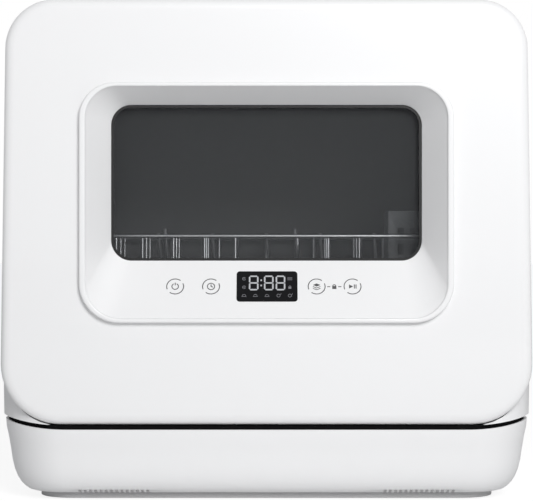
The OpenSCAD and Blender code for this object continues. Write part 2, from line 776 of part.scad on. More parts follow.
// Main board beside the tub: half length, lower edge, height, stand-off and thickness
board_hl = 60;
board_z0 = fan_z - 130;
board_h = 90;
board_out = 10;
board_t = 1.6;
module main_board() {
    x = -tub_hw - tub_t;
    face = x - board_out - board_t;
    y = arm_y + 13;
    color("darkgreen") {
        block([face, y - board_hl, board_z0], [x - board_out, y + board_hl, board_z0 + board_h]);
        for (s = [-1, 1], z = [board_z0 + 8, board_z0 + board_h - 8])
            rod_x(y + s*(board_hl - 8), z, 3, x - board_out, x);
        // transformer, relay block and capacitor
        block([face - 10.4, y - 40, board_z0 + 15], [face, y - 10, board_z0 + 45]);
        block([face - 8.4, y + 10, board_z0 + 20], [face, y + 45, board_z0 + 72]);
        rod_x(y - 25, board_z0 + 68, 8, face - 12.4, face);
    }
}

module fill_lid() {
    z = cab_h - lid_t/2;
    color("white") difference() {
        union() {
            block([-lid_hw, lid_y0, cab_h - lid_t], [lid_hw, lid_y1, cab_h]);
            rod_x(lid_y1, z, lid_t/2, -lid_hw, lid_hw);
        }
        rod_x(lid_y1, z, lid_pin_r + run, -lid_hw - 1, lid_hw + 1);
        // finger notch
        rod_x(lid_y0 - 3, cab_h + 1, 6, -14, 14);
    }
}

module fill_lid_pin() {
    color("silver") rod_x(lid_y1, cab_h - lid_t/2, lid_pin_r, -lid_hw - 5, lid_hw + 5);
}

module catch_magnet() {
    color("dimgray") block([-19.8, front_y - 0.3, tub_top + 7.7], [19.8, front_y + 6, tub_top + 15.8]);
}

module hinge_brackets() {
    color("silver") both_sides() difference() {
        union() {
            rod_x(hinge_y, hinge_z, eye_r, tub_hw + 10, tub_hw + 13);
            block([tub_hw + 10, hinge_y, hinge_z - bar_h], [tub_hw + 13, front_y + 21, hinge_z + bar_h]);
            block([tub_hw, front_y + 18.5, hinge_z - 13], [tub_hw + 13, front_y + 21, hinge_z + 13]);
        }
        rod_x(hinge_y, hinge_z, pin_r, 0, 300);
    }
}

module hinge_pins() {
    color("gray") both_sides() {
        rod_x(hinge_y, hinge_z, pin_r, tub_hw + 4.4, tub_hw + 14.6);
        rod_x(hinge_y, hinge_z, pin_r + 2, tub_hw + 4.2, tub_hw + 5.7);
        rod_x(hinge_y, hinge_z, pin_r + 2, tub_hw + 13, tub_hw + 14.6);
    }
}

// ---------------------------------------------------------------- door

// Solid pillow of the door, drawn in by d
module pillow(d) {
    steps = [[door_y + (d > 0 ? 2 : 0), 0], [face_y + 7, 0], [face_y + 4.2, 0.7],
             [face_y + 2, 2.2], [face_y + 0.7, 5], [face_y, 9.5]];
    loft([for (s = steps) front_ring(door_line(s[1] + d), s[0] + d)]);
}
module bracket_slot() {
    both_sides() block([tub_hw + 9.8, hinge_y - bar_h - 0.7, 0], [tub_hw + 15.3, 0, hinge_z + 10]);
}
module door_shell() {
    color("white") difference() {
        union() {
            difference() {
                pillow(0);
                pillow(skin);
            }
            both_sides() for (p = screw_at) rod_y(p[0], p[1], 4.5, face_y + skin/2, liner_y);
        }
        deep(-300, door_y - 20) polygon(plate(lip_hw - 3.4, lip_z0 + 3.4, lip_z1 - 3.4, lip_r, lip_r - 3));
        bracket_slot();
        both_sides() for (p = screw_at) rod_y(p[0], p[1], screw_r, liner_y - 12, liner_y + 1);
    }
}

module door_liner() {
    color("whitesmoke") difference() {
        deep(liner_y, liner_y + liner_t) polygon(door_line(skin + 0.2));
        deep(-300, 0) polygon(plate(glass_hw + 3.4, glass_z0 - 3.4, glass_z1 + 3.4, 20, 20));
        block([-cup_hw - 0.3, -300, cup_z0 - 0.3], [cup_hw + 0.3, 0, cup_z1 + 0.3]);
        bracket_slot();
        both_sides() for (p = screw_at) rod_y(p[0], p[1], screw_r, -300, 0);
    }
}

module liner_screws() {
    color("gray") both_sides() for (p = screw_at) {
        rod_y(p[0], p[1], screw_r, liner_y - 12, liner_y + liner_t + 1);
        rod_y(p[0], p[1], head_r, liner_y + liner_t, liner_y + liner_t + 1.3);
    }
}

// Frame of the lower slope: x across, y into the door, z up along the slope
module on_slope() {
    translate([0, rec_y0, slope_z]) rotate([-slope_a, 0, 0]) children();
}

module window_bezel() {
    color("white") difference() {
        union() {
            deep(lip_y, face_y) polygon(plate(lip_hw, lip_z0, lip_z1, lip_r + 4, lip_r));
            loft([front_ring(plate(glass_hw + 5, glass_z0 - 5, glass_z1 + 5, glass_r + 5, glass_r + 5), rec_y1 + 1),
                  front_ring(plate(lip_hw - 3.8, lip_z0 + 3.8, lip_z1 - 3.8, lip_r, lip_r - 3), face_y - 1)]);
            deep(rec_y1, glass_y)
                polygon(plate(glass_hw + seat, glass_z0 - seat, glass_z1 + seat, 26, 26));
        }
        loft([front_ring(plate(glass_hw, glass_z0, glass_z1, glass_r, glass_r), rec_y1),
              front_ring(plate(lip_hw - lip_t, slope_z, lip_z1 - 3.4, lip_r, lip_r - 3), rec_y0),
              front_ring(plate(lip_hw - lip_t, slope_z, lip_z1 - 3.4, lip_r, lip_r - 3), lip_y - 1)]);
        deep(-300, 0) polygon(plate(glass_hw, glass_z0, glass_z1, glass_r, glass_r));
        on_slope() {
            deep(-5, 1.25) polygon(disp_line(0.15));
            deep(-5, 20) polygon(disp_line(-3));
        }
    }
}
// Outline of the display lens, grown by d
function disp_line(d) = [for (p = plate(disp_w/2 + d, disp_v - disp_h/2 - d, disp_v + disp_h/2 + d, 2.7, 2.7, 4))
    p + [0.45, 0]];

module display_lens() {
    color("black") on_slope() deep(-0.2, 1.2) polygon(disp_line(0));
}

touch_x = [-75.6, -45.9, 41.5, 71.2];
module touch_pads() {
    color("gold") on_slope() for (x = touch_x) rod_y(x, disp_v, 5, 3.4, 8);
}

module control_board() {
    color("darkgreen") on_slope() {
        block([-90, 8, disp_v - 17], [90, 9.6, disp_v + 11.5]);
        block([-21.5, 3.6, disp_v - 10.8], [22.4, 8, disp_v + 10.8]);
    }
}

module window_glass() {
    color("gray", 0.5) deep(glass_y, glass_y + glass_t)
        polygon(plate(glass_hw + seat, glass_z0 - seat, glass_z1 + seat, 26, 26));
}

module window_gasket() {
    color("black") deep(glass_y + glass_t, pane_y) difference() {
        polygon(plate(glass_hw + seat, glass_z0 - seat, glass_z1 + seat, 26, 26));
        polygon(plate(glass_hw + 3.4, glass_z0 - 3.4, glass_z1 + 3.4, 20, 20));
    }
}

module inner_pane() {
    color("lightblue", 0.4) deep(pane_y, liner_y)
        polygon(plate(glass_hw + seat, glass_z0 - seat, glass_z1 + seat, 26, 26));
}

module hinge_arms() {
    color("silver") both_sides() difference() {
        union() {
            rod_x(hinge_y, hinge_z, eye_r, tub_hw + 6, tub_hw + 9.6);
            block([tub_hw + 6, hinge_y - eye_r, hinge_z], [tub_hw + 9.6, hinge_y + eye_r, hinge_z + 64]);
            block([tub_hw + 6, hinge_y, hinge_z + 24], [tub_hw + 9.6, liner_y, hinge_z + 64]);
            block([tub_hw - 8, liner_y - 2, hinge_z + 24], [tub_hw + 9.6, liner_y, hinge_z + 64]);
        }
        rod_x(hinge_y, hinge_z, pin_r + run, 0, 300);
    }
}

module catch_plate() {
    color("silver") block([-18, liner_y + liner_t, tub_top + 8.5], [18, liner_y + liner_t + 1.3, tub_top + 15]);
}

// Detergent cup in the liner: box, face plate and lid guides
cup_hw = 48;
cup_z0 = tub_z + 3;
cup_z1 = tub_z + 32;
cup_y = liner_y + liner_t;
cup_t = 1.5;
lid2_t = 1.6;
module dispenser_cup() {
    color("gainsboro") difference() {
        union() {
            block([-cup_hw, cup_y - 16, cup_z0], [cup_hw, cup_y + cup_t, cup_z1]);
            block([-cup_hw - 3, cup_y, cup_z0 - 2], [cup_hw + 3, cup_y + cup_t, cup_z1 + 2]);
            for (z = [cup_z0 - 2, cup_z1 - 1.5])
                block([-cup_hw - 3, cup_y + cup_t - e, z], [cup_hw + 3, cup_y + cup_t + 2.9, z + 3.5]);
        }
        block([-cup_hw + 2, cup_y - 14, cup_z0 + 3], [5, 0, cup_z1 - 3]);
        block([7, cup_y - 14, cup_z0 + 3], [cup_hw - 2, cup_y - 1, cup_z1 - 3]);
        block([-cup_hw - 5, cup_y + cup_t, cup_z0 - 0.3], [cup_hw + 5, cup_y + cup_t + 1.8, cup_z1 + 0.3]);
    }
}
module dispenser_lid() {
    y = cup_y + cup_t + 0.1;
    color("lightgray") union() {
        block([-cup_hw, y, cup_z0 - 0.1], [7, y + lid2_t, cup_z1 + 0.1]);
        block([0, y, cup_z0 + 8], [4, y + 3.4, cup_z1 - 8]);
    }
}

// ---------------------------------------------------------------- rack

// Closed wire loop with rounded corners at height z
module loop(hw, y0, y1, z, r, c) {
    for (x = [-hw, hw]) rod_y(x, z, r, y0 + c + weld, y1 - c - weld);
    for (y = [y0, y1]) rod_x(y, z, r, c - hw + weld, hw - c - weld);
    for (p = [[hw - c, y1 - c, 0], [c - hw, y1 - c, 90], [c - hw, y0 + c, 180], [hw - c, y0 + c, 270]])
        translate([p[0], p[1], z]) rotate(p[2]) rotate_extrude(angle = 90) translate([c, 0]) circle(r = r);
}

// The wires are solids of their own and touch, with this gap, where they are welded
weld = 0.03;
thin_r = wire_r - 0.25;
low_y0 = rack_y0 + 12;
low_y1 = rack_y1 - 7;
low_hw = rack_hw - 8;
// levels of the long floor wires and of the cross wires on them
long_z = rack_z - wire_r - thin_r - weld;
cross_z = long_z + 2*thin_r + weld;
wire_x = [for (i = [-5:5]) i*wire_pitch];
front_x = [for (i = [-3:3]) i*upright_pitch];
tine_y = [rack_y0 + 77, rack_y0 + 132, rack_y0 + 187];
cross_y = concat([rack_y0 + 48], [for (y = tine_y) y - 2*thin_r - weld], [rack_y0 + 212]);
// Upright from the lower loop at a to the rim at b, beside both on the side of n, and over them by up
module upright(a, b, n, up = wire_r) {
    t = unit(b - a);
    d = (wire_r + thin_r + weld)*unit(n - (n*t)*t);
    wire(a + d - t, b + d + up*t, thin_r);
}
// Cutlery basket, on the cross wires
basket_x0 = 106;
basket_x1 = rack_hw - 13;
basket_y0 = rack_y0 + 17.5;
basket_y1 = rack_y0 + 82.5;
basket_wall_y = rack_y0 + 44.5;
basket_z0 = cross_z + thin_r + weld;
basket_z1 = rack_z + 75;

module rack_frame() {
    color("silver") {
        loop(rack_hw, rack_y0, rack_y1, rack_rim_z, wire_r, 16);
        loop(low_hw, low_y0, low_y1, rack_z, wire_r, 12);
        for (x = front_x) {
            upright([x + upright_lean, low_y0, rack_z], [x, rack_y0, rack_rim_z], [0, 1, 0]);
            upright([x, low_y1, rack_z], [x, rack_y1, rack_rim_z], [0, -1, 0]);
        }
        for (y = cross_y, s = [-1, 1])
            upright([s*low_hw, y + 8, rack_z], [s*rack_hw, y + 8, rack_rim_z], [-s, 0, 0]);
        for (x = wire_x) rod_y(x, long_z, thin_r, low_y0 - thin_r, low_y1 + thin_r);
        for (y = cross_y) rod_x(y, cross_z, thin_r, wire_r + weld - low_hw, low_hw - wire_r - weld);
        for (y = tine_y, x = wire_x) if (x < basket_x0 - 10 || y > basket_y1)
            wire([x, y, long_z + thin_r + weld + 0.2], [x, y + 6, rack_z + tine_h], thin_r);
        // two posts that stand just over the front rim
        for (x = [-87, 25]) upright([x + upright_lean, low_y0, rack_z], [x, rack_y0, rack_rim_z], [0, 1, 0], 6);
    }
}

module rack_rails() {
    x0 = tub_hw - 12.5;
    color("whitesmoke") both_sides() {
        block([x0, rack_y0, rail_z - roller_r - 2], [x0 + rail_t, rack_y1, rail_z + roller_r + 2]);
        for (s = [-1, 1]) {
            z = rail_z + s*(roller_r + roller_gap + rail_t/2 - 0.1);
            block([x0, rack_y0, z - rail_t/2 + 0.1], [tub_hw - 2.9, rack_y1, z + rail_t/2 + 0.1]);
        }
        // clips on the side wires
        for (y = [cross_y[0], cross_y[4]])
            block([rack_hw - 5.6, y + 5, rail_z - 4], [x0 + 0.1, y + 11, rail_z + 4]);
    }
}

module cutlery_basket() {
    t = 1.8;
    color("darkgray") difference() {
        block([basket_x0, basket_y0, basket_z0], [basket_x1, basket_y1, basket_z1]);
        block([basket_x0 + t, basket_y0 + t, basket_z0 + t], [basket_x1 - t, basket_wall_y, 500]);
        block([basket_x0 + t, basket_wall_y + t, basket_z0 + t], [basket_x1 - t, basket_y1 - t, 500]);
        for (z = [0:3], x = [0:3])
            block([basket_x0 + 8 + x*10.5, -300, basket_z0 + 8 + z*14],
                  [basket_x0 + 13 + x*10.5, 300, basket_z0 + 17 + z*14]);
    }
}

cabinet_shell();
base_housing();
base_plate();
rubber_feet();
seam_ring();
front_frame();
front_apron();
rear_panel();
panel_screws();
tub();
tub_seal();
roller_axles();
sump();
filter_plate();
filter_cup();
spray_post();
spray_arm();
wash_pump_housing();
wash_pump_motor();
wash_impeller();
drain_pump_housing();
drain_pump_motor();
drain_impeller();
flow_heater();
hoses();
water_tank();
inlet_valve();
drain_spigot();
cord_gland();
fan_housing();
fan_impeller();
main_board();
fill_lid();
fill_lid_pin();
catch_magnet();
hinge_brackets();
hinge_pins();
door_shell();
door_liner();
liner_screws();
window_bezel();
window_glass();
window_gasket();
inner_pane();
display_lens();
touch_pads();
control_board();
hinge_arms();
catch_plate();
dispenser_cup();
dispenser_lid();
rack_frame();
rack_rails();
cutlery_basket();
roller(1, 0);  // roller_front_right
roller(1, 1);  // roller_rear_right
roller(-1, 0);  // roller_front_left
roller(-1, 1);  // roller_rear_left
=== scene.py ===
"""Looks of the countertop dishwasher: smooth mouldings, printed controls, wire rack, finishes and stage."""
import json
import math
import bmesh
import bpy
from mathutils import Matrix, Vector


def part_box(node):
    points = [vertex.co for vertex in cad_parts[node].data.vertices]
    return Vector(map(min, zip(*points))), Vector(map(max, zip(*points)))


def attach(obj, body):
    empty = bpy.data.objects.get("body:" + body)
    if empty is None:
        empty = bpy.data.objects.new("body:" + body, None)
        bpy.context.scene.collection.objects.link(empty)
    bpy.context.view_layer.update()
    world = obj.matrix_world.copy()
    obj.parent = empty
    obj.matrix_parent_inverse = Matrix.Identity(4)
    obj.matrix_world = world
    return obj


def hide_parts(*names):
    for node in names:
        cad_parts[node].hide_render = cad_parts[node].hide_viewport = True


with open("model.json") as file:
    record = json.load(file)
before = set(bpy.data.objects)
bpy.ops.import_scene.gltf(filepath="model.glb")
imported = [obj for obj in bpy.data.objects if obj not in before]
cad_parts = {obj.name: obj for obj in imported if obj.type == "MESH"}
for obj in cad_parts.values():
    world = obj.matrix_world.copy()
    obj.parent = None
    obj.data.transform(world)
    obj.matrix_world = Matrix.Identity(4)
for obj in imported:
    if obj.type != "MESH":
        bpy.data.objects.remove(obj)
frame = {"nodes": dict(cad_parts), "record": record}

from types import SimpleNamespace

from bpy.props import FloatProperty, FloatVectorProperty, IntProperty, PointerProperty
from mathutils import Vector

bl_info = {
    "name": "Countertop Dishwasher",
    "version": (1, 0, 0),
    "blender": (4, 5, 0),
    "location": "3D Viewport > Sidebar > Dishwasher",
    "description": "Dresses the frame of a countertop dishwasher with smooth mouldings and finishes",
    "category": "Object",
}

MM = 0.001
MERGE_DISTANCE = 2e-6
FLAT_ANGLE = math.radians(0.8)
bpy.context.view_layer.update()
BODY = {node: body for body, nodes in frame["record"]["behaviour"]["bodies"].items() for node in nodes}
# ways round a moulding's outline: steps on each corner and on each straight side
CORNER, SIDE = 14, 10


def span(node):
    """Lowest and highest corner of a frame node, in millimetres."""
    low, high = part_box(node)
    return Vector(low) / MM, Vector(high) / MM


DOOR_LOW, DOOR_HIGH = span("door_shell")
LIP_LOW, LIP_HIGH = span("window_bezel")
BASE_LOW, BASE_HIGH = span("base_housing")
RACK_LOW, RACK_HIGH = span("rack_frame")
# how much slimmer the window lip is along its foot, and how far behind its front its slopes start
LIP_SLIM, SLOPE_START = 1.5, 1.5


def length(name, text, millimetres):
    """A size for a property group, given here in millimetres."""
    return FloatProperty(name=name, description=text, default=millimetres * MM, min=0.0, max=1.0,
                         precision=5, unit="LENGTH")


def in_mm(group):
    """A property group's lengths in millimetres, and its other values as they are."""
    sizes = {}
    for key in type(group).__annotations__:
        value = getattr(group, key)
        sizes[key] = value / MM if group.bl_rna.properties[key].unit == "LENGTH" else value
    return SimpleNamespace(**sizes)


def paint(name, text, default):
    """A linear colour for a property group."""
    return FloatVectorProperty(name=name, description=text, default=default, size=3, min=0.0, max=1.0,
                               subtype="COLOR")


class MouldingSizes(bpy.types.PropertyGroup):
    """Sizes of the outer mouldings"""
    top_radius: length("Top radius", "Radius of the door's upper corners", 41.0)
    low_radius: length("Low radius", "Radius of the door's lower corners", 50.0)
    shoulder: length("Shoulder", "How much narrower each side of the door is at its top", 3.7)
    skin: length("Skin", "Wall of the door moulding", 3.0)
    brow: length("Brow", "How far the door's rounded edge reaches in across its face", 9.5)
    edge_depth: length("Edge depth", "How far back the door's rounded edge starts", 7.0)
    lip_radius: length("Lip radius", "Radius of the window lip's upper corners", 29.0)
    lip_width: length("Lip width", "Width of the window lip", 5.4)
    lip_round: length("Lip rounding", "Rounding of the window lip's edges", 1.6)
    glass_half: length("Glass half width", "Half width of the glass opening", 129.6)
    glass_low: length("Glass low edge", "Height of the glass opening's lower edge", 200.0)
    glass_high: length("Glass high edge", "Height of the glass opening's upper edge", 330.0)
    glass_radius: length("Glass radius", "Radius of the glass opening's corners", 17.0)
    border: length("Glass border", "Width of the black border printed on the glass", 2.2)
    recess: length("Recess", "Depth of the window recess behind the lip", 27.5)
    seat: length("Seat", "Width of the flange behind the glass opening", 9.4)
    plan_radius: length("Plan radius", "Radius of the base's front corners seen from above", 55.0)
    rear_radius: length("Rear radius", "Radius of the base's rear corners seen from above", 12.0)
    seam: length("Seam height", "Height of the seam in the middle", 60.8)
    seam_rise: length("Seam rise", "Rise of the seam at the sides", 7.0)
    plinth: length("Plinth height", "Height of the plinth", 6.5)
    slot_rise: length("Slot rise", "How far the vent slots reach above the plinth", 3.0)
    slot: length("Slot", "Width of a vent slot", 2.5)
    first_slot: length("First slot", "Distance of the first vent slot from the middle", 97.5)
    slot_pitch: length("Slot pitch", "Spacing of the vent slots", 4.35)
    slots: IntProperty(name="Slots", description="Vent slots in each group", default=14, min=1, max=18)


class RackSizes(bpy.types.PropertyGroup):
    """Sizes of the wire rack"""
    rim_wire: length("Rim wire", "Radius of the heavy wires", 1.65)
    thin_wire: length("Thin wire", "Radius of the thin wires", 1.4)
    pitch: length("Wire pitch", "Spacing of the floor wires", 28.0)
    tine: length("Tine height", "Height of the tines above the floor", 55.0)


class ControlSizes(bpy.types.PropertyGroup):
    """Sizes of the printed controls and the display"""
    ring: length("Ring radius", "Radius of a touch ring", 7.0)
    ring_line: length("Ring line", "Width of the printed lines", 0.75)
    digit_width: length("Digit width", "Width of a display digit", 8.0)
    digit_height: length("Digit height", "Height of a display digit", 13.8)
    stroke: length("Stroke", "Width of a digit's bars", 1.25)


class FinishColours(bpy.types.PropertyGroup):
    """Colours of the finishes"""
    shell: paint("Shell", "White of the outer mouldings", (0.86, 0.86, 0.865))
    base: paint("Base", "White of the base housing", (0.87, 0.87, 0.875))
    grey: paint("Grey", "Grey of the apron and the spray arm", (0.40, 0.40, 0.41))
    # Painted shade: the plinth is white plastic set back under the base, and this pale grey paints the
    # shadow it sits in.
    plinth: paint("Plinth", "Pale grey of the plinth", (0.55, 0.55, 0.555))
    tub: paint("Tub", "Grey of the tub", (0.15, 0.155, 0.16))
    dark: paint("Dark", "Dark grey of pumps and fittings", (0.035, 0.036, 0.04))
    steel: paint("Steel", "Colour of bare steel", (0.60, 0.61, 0.63))
    print_ink: paint("Print", "Ink of the printed controls", (0.055, 0.055, 0.058))
    glow: paint("Glow", "Light of the display", (0.42, 0.43, 0.45))


class StageLight(bpy.types.PropertyGroup):
    """Lamps, surroundings and camera"""
    ambient: FloatProperty(name="Ambient", description="Strength of the surroundings", default=0.33, min=0.0)
    key: FloatProperty(name="Key lamp", description="Power of the large lamp in front, high on the right",
                       default=54.5, min=0.0, unit="POWER")
    spill: FloatProperty(name="Floor light", description="How much of the floor's own white the camera sees",
                         default=0.86, min=0.0)
    distance: FloatProperty(name="Camera distance", description="Camera's distance in front of the door",
                            default=1.6, min=0.5, unit="LENGTH")
    eye: FloatProperty(name="Camera height", description="Height of the camera", default=0.2085,
                       unit="LENGTH")
    view_width: FloatProperty(name="View width", description="Width seen at the door", default=0.4424,
                              min=0.1, unit="LENGTH")


# ------------------------------------------------------------------ shape helpers

def fan(x, z, r, start, steps=CORNER):
    """Quarter turn of points round x, z."""
    return [(x + r * math.cos(math.radians(start + 90 * i / steps)),
             z + r * math.sin(math.radians(start + 90 * i / steps))) for i in range(steps + 1)]


def outline(top_half, low_half, low, high, low_r, top_r, inset=0.0):
    """Closed outline with rounded corners, drawn in by inset; every outline has the same count of points."""
    corners = [fan(top_half - top_r, high - top_r, top_r - inset, 0),
               fan(top_r - top_half, high - top_r, top_r - inset, 90),
               fan(low_r - low_half, low + low_r, low_r - inset, 180),
               fan(low_half - low_r, low + low_r, low_r - inset, 270)]
    points = []
    for corner, after in zip(corners, corners[1:] + corners[:1]):
        a, b = Vector(corner[-1]), Vector(after[0])
        points += corner + [tuple(a.lerp(b, k / SIDE)) for k in range(1, SIDE)]
    return points


def roll(steps, first=0.0, last=90.0):
    """How far in and how far back each point of a round edge lies, as shares of its radius."""
    for k in range(steps + 1):
        turn = math.radians(first + (last - first) * k / steps)
        yield 1.0 - math.cos(turn), 1.0 - math.sin(turn)


def front_ring(points, y):
    return [(x, y, z) for x, z in points]


def between(a, b, part):
    """Ring between two rings of equally many points."""
    return [tuple(Vector(p).lerp(Vector(r), part)) for p, r in zip(a, b)]


def skin_faces(count, rings, closed):
    """Quads between neighbouring rings, and between the last and the first where the skin is closed."""
    faces = []
    for i in range(rings if closed else rings - 1):
        a, b = i * count, (i + 1) % rings * count
        faces += [(a + j, a + (j + 1) % count, b + (j + 1) % count, b + j) for j in range(count)]
    return faces


def body_mesh(name, rings, closed):
    """Mesh through rings; a skin that isn't closed gets a cap at each end."""
    count = len(rings[0])
    faces = skin_faces(count, len(rings), closed)
    if not closed:
        faces += [tuple(range(count)), tuple((len(rings) - 1) * count + j for j in range(count))]
    mesh = bpy.data.meshes.new(name)
    mesh.from_pydata([[c * MM for c in p] for ring in rings for p in ring], [], faces)
    return mesh


def loose_mesh(name, points, faces):
    mesh = bpy.data.meshes.new(name)
    mesh.from_pydata([[c * MM for c in p] for p in points], [], faces)
    return mesh


def add_block(points, faces, low, high):
    """Adds a block between two corners to a list of points and faces."""
    n = len(points)
    points += [(x, y, z) for x in (low[0], high[0]) for y in (low[1], high[1]) for z in (low[2], high[2])]
    faces += [tuple(n + k for k in f) for f in
              ((0, 1, 3, 2), (4, 6, 7, 5), (0, 4, 5, 1), (2, 3, 7, 6), (0, 2, 6, 4), (1, 5, 7, 3))]


def new_object(name, mesh):
    thing = bpy.data.objects.new(name, mesh)
    bpy.context.scene.collection.objects.link(thing)
    return thing


def cut(thing, low_high_pairs):
    """Cuts blocks out of an object."""
    points, faces = [], []
    for low, high in low_high_pairs:
        add_block(points, faces, low, high)
    tool = new_object("cutter", loose_mesh("cutter", points, faces))
    work = thing.modifiers.new("cut", "BOOLEAN")
    work.operation = "DIFFERENCE"
    work.solver = "EXACT"
    work.object = tool
    fixed = bpy.data.meshes.new_from_object(thing.evaluated_get(bpy.context.evaluated_depsgraph_get()))
    thing.modifiers.clear()
    thing.data = fixed
    bpy.data.objects.remove(tool)


def tidy_mesh(mesh, crease=38.0, bevel=0.0, outward=True, flat=False):
    """Merges doubles, rounds sharp edges a little and shades smoothly up to the crease angle.

    With flat, triangles of one plane become one face, which keeps long thin ones from showing.
    """
    work = bmesh.new()
    work.from_mesh(mesh)
    bmesh.ops.remove_doubles(work, verts=work.verts, dist=MERGE_DISTANCE)
    if outward:
        bmesh.ops.recalc_face_normals(work, faces=work.faces)
    if bevel or flat:
        bmesh.ops.dissolve_limit(work, angle_limit=FLAT_ANGLE, verts=work.verts, edges=work.edges)
    if bevel:
        edges = [e for e in work.edges if len(e.link_faces) == 2
                 and e.calc_face_angle(0.0) > math.radians(crease)]
        bmesh.ops.bevel(work, geom=edges, offset=bevel * MM, segments=2, profile=0.5, affect="EDGES",
                        clamp_overlap=True)
    work.to_mesh(mesh)
    work.free()
    mesh.set_sharp_from_angle(angle=math.radians(crease))
    for polygon in mesh.polygons:
        polygon.use_smooth = True
    return mesh


def settle(thing, material, *nodes, body=None):
    """Gives a piece its finish and body, and lets it stand for frame nodes."""
    thing.data.materials.clear()
    thing.data.materials.append(material)
    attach(thing, body or BODY[nodes[0]])
    if nodes:
        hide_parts(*nodes)
    return thing


def smooth_copy(node, material, crease=38.0, bevel=0.0, flat=False):
    """A smoothly shaded copy of a frame node, which it replaces."""
    mesh = frame["nodes"][node].data.copy()
    # stored normals no longer fit once doubles are merged
    if "custom_normal" in mesh.attributes:
        mesh.attributes.remove(mesh.attributes["custom_normal"])
    tidy_mesh(mesh, crease, bevel, False, flat)
    return settle(new_object(node + "_finish", mesh), material, node)


def refinish(node, material):
    """A better material on a frame node that keeps its mesh."""
    for slot in frame["nodes"][node].material_slots:
        slot.material = material


# ------------------------------------------------------------------ shader helpers

def put(tree, kind, values=None, **sockets):
    """Adds a node, sets its values, and fills its sockets with numbers or with other sockets."""
    made = tree.nodes.new(kind)
    for key, value in (values or {}).items():
        setattr(made, key, value)
    for key, value in sockets.items():
        place = made.inputs[int(key[1:]) if key[1:].isdigit() else key.replace("_", " ")]
        if isinstance(value, bpy.types.NodeSocket):
            tree.links.new(value, place)
        else:
            place.default_value = value
    return made


def new_group(name, inputs, outputs, kind="ShaderNodeTree"):
    """A node group with named sockets; returns the tree, its input node and its output node."""
    tree = bpy.data.node_groups.new(name, kind)
    for label, (socket, default) in inputs.items():
        made = tree.interface.new_socket(label, in_out="INPUT", socket_type=socket)
        if default is not None:
            made.default_value = default
    for label, socket in outputs.items():
        tree.interface.new_socket(label, in_out="OUTPUT", socket_type=socket)
    return tree, tree.nodes.new("NodeGroupInput"), tree.nodes.new("NodeGroupOutput")


NUMBER, COLOUR, VECTOR = "NodeSocketFloat", "NodeSocketColor", "NodeSocketVector"


def math_node(tree, operation, a, b=0.0):
    return put(tree, "ShaderNodeMath", {"operation": operation}, i0=a, i1=b).outputs[0]


def mixed(tree, factor, a, b):
    """Colour between a and b."""
    mix = put(tree, "ShaderNodeMix", {"data_type": "RGBA"})
    for index, value in ((0, factor), (6, a), (7, b)):
        if isinstance(value, bpy.types.NodeSocket):
            tree.links.new(value, mix.inputs[index])
        else:
            mix.inputs[index].default_value = value
    return mix.outputs[2]


def noise(tree, at, scale, **more):
    return put(tree, "ShaderNodeTexNoise", Vector=at, Scale=scale, **more).outputs["Fac"]


def relief(tree, end, height, strength, distance):
    """Puts out a normal roughened by a height."""
    bump = put(tree, "ShaderNodeBump", Strength=strength, Distance=distance, Height=height)
    tree.links.new(bump.outputs["Normal"], end.inputs["Normal"])


def moulded_group():
    """Skin of an injection moulding: fine grain, soft waviness, slight mottling and handling marks."""
    tree, start, end = new_group(
        "Moulded skin",
        {"Colour": (COLOUR, (0.8, 0.8, 0.8, 1)), "Mottle": (NUMBER, 0.02), "Gloss": (NUMBER, 0.3),
         "Smudge": (NUMBER, 0.05), "Grain": (NUMBER, 900.0), "Depth": (NUMBER, 0.1)},
        {"Colour": COLOUR, "Roughness": NUMBER, "Normal": VECTOR})
    at = put(tree, "ShaderNodeTexCoord").outputs["Object"]
    cloud = noise(tree, at, 7.0, Detail=3.0)
    marks = noise(tree, at, 38.0, Detail=6.0, Roughness=0.7)
    grain = noise(tree, at, start.outputs["Grain"], Detail=2.0)
    shade = math_node(tree, "MULTIPLY", cloud, start.outputs["Mottle"])
    tree.links.new(mixed(tree, shade, start.outputs["Colour"], (0.25, 0.26, 0.28, 1)), end.inputs["Colour"])
    rough = math_node(tree, "MULTIPLY", math_node(tree, "SUBTRACT", marks, 0.5), start.outputs["Smudge"])
    rough = math_node(tree, "ADD", rough, start.outputs["Gloss"])
    tree.links.new(rough, end.inputs["Roughness"])
    relief(tree, end, grain, start.outputs["Depth"], 0.0002)
    return tree


def drawn_metal_group():
    """Drawn or brushed metal: long fine streaks in colour, roughness and relief."""
    tree, start, end = new_group(
        "Drawn metal",
        {"Colour": (COLOUR, (0.6, 0.6, 0.6, 1)), "Stretch": (VECTOR, (40.0, 900.0, 900.0)),
         "Gloss": (NUMBER, 0.3), "Streaks": (NUMBER, 0.2)},
        {"Colour": COLOUR, "Roughness": NUMBER, "Normal": VECTOR})
    at = put(tree, "ShaderNodeTexCoord").outputs["Object"]
    run = put(tree, "ShaderNodeVectorMath", {"operation": "MULTIPLY"}, i0=at, i1=start.outputs["Stretch"])
    streak = noise(tree, run.outputs[0], 1.0, Detail=3.0)
    shade = math_node(tree, "MULTIPLY", streak, start.outputs["Streaks"])
    tree.links.new(mixed(tree, shade, start.outputs["Colour"], (0.12, 0.12, 0.13, 1)), end.inputs["Colour"])
    tree.links.new(math_node(tree, "ADD", start.outputs["Gloss"], shade), end.inputs["Roughness"])
    relief(tree, end, streak, 0.15, 0.0001)
    return tree


def blank(made):
    """The emptied node tree of a new material or world."""
    made.use_nodes = True
    made.node_tree.nodes.clear()
    return made.node_tree


def surface(tree, shader, kind="ShaderNodeOutputMaterial"):
    """Puts out a shader as the surface of a material or world."""
    tree.links.new(shader.outputs[0], put(tree, kind).inputs["Surface"])


